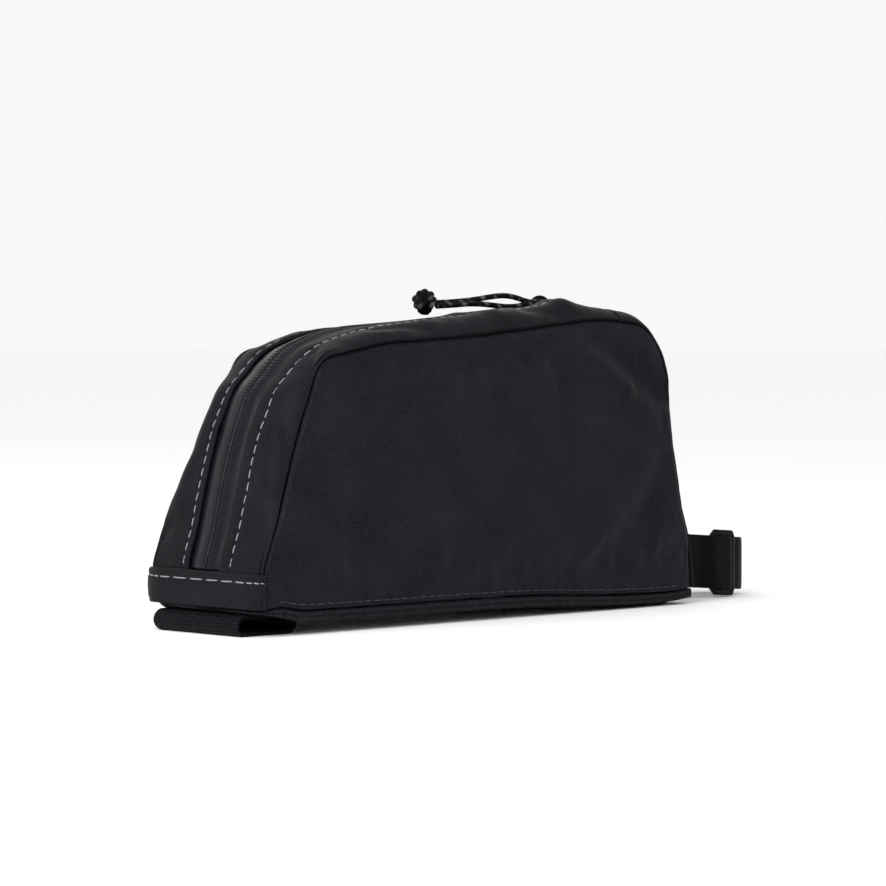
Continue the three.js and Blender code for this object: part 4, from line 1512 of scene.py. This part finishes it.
class BAG_OT_end_pieces(bpy.types.Operator):
    """Makes the band across the low end and the plain panel over the tall end"""

    bl_idname = "bag.end_pieces"
    bl_label = "Band and tall end"

    def execute(self, context):
        body = Body(context.scene)
        finish = gusset_finish(context.scene.bag_colours)

        def band_place(u, v):
            side = -1 if v < 0.5 else 1
            return body.placed(band_spot(body, u, abs(2 * v - 1), side))

        bm = new_grid(26, 150, band_place, (body.trim.band, 60 * MM), Vector((-1, 0, 0)))
        band = add_piece("low_end_band", bm, finish, ["end_band"])
        add_wall(band, body.size.end_wall)

        def tall_place(u, v):
            side = -1 if v < 0.5 else 1
            return body.placed(tall_spot(body, u, abs(2 * v - 1), side))

        long = (1 - PANEL_JOINT) * body.seam_length
        bm = new_grid(150, 80, tall_place, (long, 60 * MM), Vector((1, 0, 0.5)))
        tall = add_piece("tall_end_cloth", bm, finish, ["tall_end_panel"])
        add_wall(tall, body.size.end_wall)
        return {"FINISHED"}


class BAG_OT_underside(bpy.types.Operator):
    """Makes the bottom cloth and the coarse tape that binds the bottom edge"""

    bl_idname = "bag.underside"
    bl_label = "Underside"

    def execute(self, context):
        body = Body(context.scene)
        colours = context.scene.bag_colours
        inset = body.trim.binding_wall + body.size.gap
        from_x = body.low_face + inset
        to_x = body.size.long + body.rise(1) - inset

        def place(u, v):
            x = mix(from_x, to_x, (1 - math.cos(math.pi * u)) / 2)
            y = mix(-body.plan_half(x, inset, -1), body.plan_half(x, inset, 1), v)
            side = -1 if y < 0 else 1
            flat_to = body.strap.sleeve_wide / 2 + side * body.strap.sleeve_shift
            flat_to += 2 * body.size.gap
            edge = body.half_width(0, side) - inset
            t = smooth((abs(y) - flat_to) / (edge - flat_to))
            z = max(mix(body.middle(x), body.rim(x) + 1.2 * MM, t), 0)
            z += 0.12 * MM * abs(rumple(x, y, 0, 14 * MM)) * (z > 0) + body.curl(x, y)
            return body.placed((x, y, z))

        flat = (to_x - from_x, body.size.base - 2 * inset)
        bm = new_grid(110, 40, place, flat, Vector((0, 0, -1)))
        finish = gusset_finish(colours)
        bottom = add_piece("bottom_cloth", bm, finish, ["bottom_panel"])
        add_wall(bottom, body.size.floor_wall)

        trim = body.trim
        middle = trim.binding_wall / 2 - trim.binding_proud
        outline = body.plan_outline(middle, 150, 8)
        count = len(outline)
        long = sum((outline[i] - outline[i - 1]).length for i in range(count))

        def bind(u, v):
            here = outline[round(u * count) % count]
            ahead = outline[(round(u * count) + 1) % count]
            back = outline[(round(u * count) - 1) % count]
            along = (ahead - back).normalized()
            outward = Vector((along.y, -along.x))
            angle = v * 2 * math.pi
            wide, tall = math.cos(angle), math.sin(angle)
            wide = math.copysign(abs(wide) ** 0.55, wide)
            tall = math.copysign(abs(tall) ** 0.55, tall)
            uneven = 1 + 0.12 * rumple(here.x, here.y, 0, 4 * MM)
            step = outward * wide * trim.binding_wall / 2 * uneven
            step -= outward * 0.7 * MM * (1 - smooth((here.x + 2 * MM) / (9 * MM)))
            tall_end = (here.x - body.size.long + 40 * MM) / (34 * MM)
            step -= outward * 0.9 * MM * smooth(tall_end)
            high = body.binding_high(here.x)
            z = body.rim(here.x) + high / 2 * (1 + tall) + body.curl(here.x, here.y)
            return body.placed((here.x + step.x, here.y + step.y, z))

        bm = close_up(new_grid(count, 16, bind, (long, 10 * MM), None), caps=False)
        tape = shared_finish(
            "woven_binding_tape",
            lambda: ribbed_webbing(
                "woven_binding_tape", colours.gusset, 1.2 * MM, 1.1 * MM, 0.4 * MM
            ),
        )
        add_piece("edge_binding", bm, tape, ["bottom_binding"])
        return {"FINISHED"}


class BAG_OT_sleeve(bpy.types.Operator):
    """Makes the flattened webbing sleeve under the low end"""

    bl_idname = "bag.sleeve"
    bl_label = "Strap sleeve"

    def execute(self, context):
        body = Body(context.scene)
        strap = body.strap
        high = strap.sleeve_high / 2
        run = strap.sleeve_long / 2 - high
        start = body.low_face - strap.overhang
        round_way = math.pi * high
        whole = 4 * run + 2 * round_way

        def loop_point(distance):
            """A point once round the flattened loop, and its direction outwards."""
            d = distance % whole
            if d < 2 * run:
                return (-run + d, -high), (0, -1)
            d -= 2 * run
            if d < round_way:
                a = d / high - math.pi / 2
                return (run + high * math.cos(a), high * math.sin(a)), (math.cos(a), math.sin(a))
            d -= round_way
            if d < 2 * run:
                return (run - d, high), (0, 1)
            a = (d - 2 * run) / high + math.pi / 2
            return (-run + high * math.cos(a), high * math.sin(a)), (math.cos(a), math.sin(a))

        def place(u, v):
            (x, z), (out_x, out_z) = loop_point(u * whole)
            y = (v - 0.5) * strap.sleeve_wide
            edge = clamp((strap.sleeve_wide / 2 - abs(y)) / (0.7 * MM))
            y += strap.sleeve_shift
            sink = 0.5 * MM * (1 - math.sqrt(1 - (1 - edge) ** 2))
            sink += 0.12 * MM * abs(rumple(x, y, z, 6 * MM))
            x += strap.sleeve_long / 2 + start - out_x * sink
            return body.placed((x, y, z + high - out_z * sink))

        bm = new_grid(150, 60, place, (whole, strap.sleeve_wide), None)
        close_up(bm, caps=False)
        finish = webbing_finish(context.scene.bag_colours)
        sleeve = add_piece("webbing_sleeve", bm, finish, ["strap_sleeve"])
        add_wall(sleeve, strap.sleeve_wall)
        return {"FINISHED"}


class BAG_OT_stem_strap(bpy.types.Operator):
    """Makes the webbing loop at the tall end and the plastic slider on it"""

    bl_idname = "bag.stem_strap"
    bl_label = "Stem strap"

    def execute(self, context):
        body = Body(context.scene)
        strap = body.strap
        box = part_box("stem_strap")
        root_x = box[0].x - body.shift
        end_x = box[1].x - body.shift
        glide_x = end_x - strap.glide_back
        half = strap.spread / 2
        gap = body.size.gap
        side_step = (strap.glide_wall + strap.strap_wall) / 2 + gap
        outside, inside = -half - side_step, -half + side_step
        slot = (strap.glide_long - 3 * strap.glide_bar) / 2
        slot_x = glide_x + strap.glide_long / 2 - strap.glide_bar - slot / 2
        ring = half - side_step

        def falling(x):
            return strap.centre - strap.droop * (x - root_x)

        corners = [
            (root_x, -half),
            (glide_x - strap.glide_long, -half),
            (glide_x - strap.glide_long / 2 - gap, outside),
            (slot_x, outside),
            (slot_x, inside),
        ]
        turn_x = end_x - strap.strap_wall / 2 - ring
        for i in range(13):
            angle = i / 12 * math.pi
            across = -math.cos(angle) * (ring if i <= 6 else half)
            corners.append((turn_x + ring * math.sin(angle), across))
        corners.append((root_x, half))
        rounding = [0, 8, 5, 1.1, 1.1] + [3] * 13 + [0]
        route = rounded_line([(x, y, r * MM) for (x, y), r in zip(corners, rounding)])
        long = sum((b - a).length for a, b in zip(route, route[1:]))
        path = even_path(route, long, 0.8 * MM)
        last = len(path) - 1

        def place(u, v):
            i = round(u * last)
            along = (path[min(i + 1, last)] - path[max(i - 1, 0)]).normalized()
            angle = v * 2 * math.pi
            thick, tall = math.cos(angle), math.sin(angle)
            thick = math.copysign(abs(thick) ** 0.35, thick) * strap.strap_wall / 2
            tall = math.copysign(abs(tall) ** 0.35, tall) * strap.strap / 2
            edge = Vector((along.y, -along.x)) * thick
            x, y = path[i].x + edge.x, path[i].y + edge.y
            if tall > 0:
                tall += 1.2 * MM * (1 - smooth((x - root_x) / (16 * MM)))
            return body.placed((x, y, falling(x) + tall))

        round_way = 2 * (strap.strap + strap.strap_wall)
        bm = close_up(new_grid(last, 64, place, (long, round_way), None))
        layer = bm.loops.layers.uv["UVMap"]
        for face in bm.faces:
            for loop in face.loops:
                loop[layer].uv.y = loop.vert.co.z
        # This webbing takes the darker strap colour, which is painted shade for the shadow that the
        # loop lies in.
        finish = ribbed_webbing(
            "fine_nylon_webbing",
            context.scene.bag_colours.strap,
            0.9 * MM,
            0.75 * MM,
            0.08 * MM,
        )
        add_piece("stem_webbing", bm, finish, ["stem_strap"], 60)
        self.tri_glide(context, body, glide_x, slot, falling)
        return {"FINISHED"}

    def tri_glide(self, context, body, glide_x, slot, falling):
        """A flat moulded plate with three bars and two slots."""
        strap = body.strap
        long, high, bar = strap.glide_long / 2, strap.glide_high / 2, strap.glide_bar
        columns = (-long, -long + bar, -long + bar + slot, long - bar - slot, long - bar, long)
        ear = strap.glide_slot / 2
        ear_trims = {0: 2.4 * MM, 5: 1.1 * MM}
        rows = (-high, -ear, ear, high)
        bm = bmesh.new()
        bmesh.ops.create_grid(bm, x_segments=5, y_segments=3, size=0.5)
        holes = []
        for face in bm.faces:
            middle = face.calc_center_median()
            column = int((middle.x + 0.5) * 5)
            row = int((middle.y + 0.5) * 3)
            if row == 1 and column in (1, 3):
                holes.append(face)
        bmesh.ops.delete(bm, geom=holes, context="FACES")
        for vert in bm.verts:
            i, k = round((vert.co.x + 0.5) * 5), round((vert.co.y + 0.5) * 3)
            trim = ear_trims.get(i, 0) if k in (0, 3) else 0
            x = columns[i] - math.copysign(trim, columns[i])
            vert.co = Vector((x, 0, rows[k]))
        made = bmesh.ops.extrude_face_region(bm, geom=bm.faces[:])
        moved = [part for part in made["geom"] if isinstance(part, bmesh.types.BMVert)]
        bmesh.ops.translate(bm, verts=moved, vec=(0, strap.glide_wall, 0))
        bmesh.ops.recalc_face_normals(bm, faces=bm.faces[:])
        sharp = [edge for edge in bm.edges if edge.calc_face_angle(0) > 0.5]
        bmesh.ops.bevel(
            bm,
            geom=sharp,
            offset=0.8 * MM,
            segments=4,
            profile=0.5,
            affect="EDGES",
            material=-1,
        )
        shift = Vector((glide_x + body.shift, -strap.spread / 2 - strap.glide_wall / 2, 0))
        for vert in bm.verts:
            vert.co += shift
            vert.co.z += falling(vert.co.x - body.shift)
        nylon = grained(
            "moulded_acetal",
            context.scene.bag_colours.plastic,
            0.35 * MM,
            0.03 * MM,
            {"Roughness": 0.25, "Specular IOR Level": 0.08, "IOR": 1.48},
        )
        add_piece("strap_tri_glide", bm, nylon, ["strap_slider"], 45)


class BAG_OT_stitching(bpy.types.Operator):
    """Sews the light topstitching and the dark stitches along the foot of the sides"""

    bl_idname = "bag.stitching"
    bl_label = "Stitching"

    def execute(self, context):
        body = Body(context.scene)
        trim = body.trim
        colours = context.scene.bag_colours
        light = thread_finish("spun_polyester_thread", colours.thread)
        dark = thread_finish("dark_polyester_thread", colours.dark_thread)
        start = body.strip_start * body.seam_length
        end = body.strip_end * body.seam_length
        for name, side in (("left", 1), ("right", -1)):
            bm = bmesh.new()
            add_stitch_row(bm, strip_line(body, side), start, end, trim, trim.thread)
            add_piece(f"topstitching_{name}", bm, light)

        bm = bmesh.new()
        half = body.size.base / 2

        def band_line(distance):
            side = -1 if distance < half else 1
            across = abs(distance - half) / half
            up = 1 - 2.9 * MM / trim.band
            here = band_spot(body, up, across, side)
            ahead = band_spot(body, up, clamp(across + 0.02), side)
            run = (ahead - here).normalized() * side
            outward = Vector((-run.y, run.x, 0)) if run.y > 0 else Vector((run.y, -run.x, 0))
            return body.placed(here), outward.normalized()

        add_stitch_row(bm, band_line, 1.5 * MM, body.size.base - 1.5 * MM, trim, trim.thread)
        add_piece("band_stitching", bm, light)

        for name, side in (("left", 1), ("right", -1)):
            bm = bmesh.new()

            def foot_line(distance):
                u = distance / body.size.long
                return self.foot_spot(body, side, u)

            add_stitch_row(bm, foot_line, 4 * MM, body.size.long - 6 * MM, trim, trim.thread * 0.8)
            add_piece(f"foot_stitching_{name}", bm, dark)
        return {"FINISHED"}

    def foot_spot(self, body, side, u):
        """A place just above the binding, on the outside of the settled side panel."""
        x = u * body.size.long
        z = body.foot(x) + 1.9 * MM
        pad = bpy.data.objects["side_pad_left" if side > 0 else "side_pad_right"]
        out = Vector((0, side, 0))
        start = body.placed((x, side * (body.size.base / 2 + 12 * MM), z))
        hit, place, _, _ = pad.ray_cast(start, -out)
        if not hit:
            place = body.placed((x, side * (body.half_width(z, side) + 0.2 * MM), z))
        return place, out


class BAG_PT_pieces(bpy.types.Panel):
    """Lists the bag's pieces, with the sizes and colours they are made from"""

    bl_idname = "BAG_PT_pieces"
    bl_label = "Top Tube Bag"
    bl_space_type = "VIEW_3D"
    bl_region_type = "UI"
    bl_category = "Top Tube Bag"

    def draw(self, context):
        for operator in OPERATORS:
            self.layout.operator(operator.bl_idname)
        for name in GROUPS:
            group = getattr(context.scene, name)
            box = self.layout.box()
            for key in group.bl_rna.properties.keys():
                if key not in ("rna_type", "name"):
                    box.prop(group, key)


OPERATORS = (
    BAG_OT_stage,
    BAG_OT_pull_cord,
    BAG_OT_side_panels,
    BAG_OT_gusset_strips,
    BAG_OT_zipper,
    BAG_OT_zipper_slider,
    BAG_OT_end_pieces,
    BAG_OT_underside,
    BAG_OT_sleeve,
    BAG_OT_stem_strap,
    BAG_OT_stitching,
)
GROUPS = {
    "bag_body": BodySizes,
    "bag_zipper": ZipperSizes,
    "bag_trim": TrimSizes,
    "bag_strap": StrapSizes,
    "bag_colours": BagColours,
}


def register():
    for group in (*GROUPS.values(), *OPERATORS, BAG_PT_pieces):
        bpy.utils.register_class(group)
    for name, group in GROUPS.items():
        setattr(bpy.types.Scene, name, bpy.props.PointerProperty(type=group))


def unregister():
    for name in GROUPS:
        delattr(bpy.types.Scene, name)
    for group in (BAG_PT_pieces, *OPERATORS, *GROUPS.values()):
        bpy.utils.unregister_class(group)


def main():
    register()
    for operator in OPERATORS:
        family, action = operator.bl_idname.split(".")
        getattr(getattr(bpy.ops, family), action)()


if __name__ == "__main__":
    main()
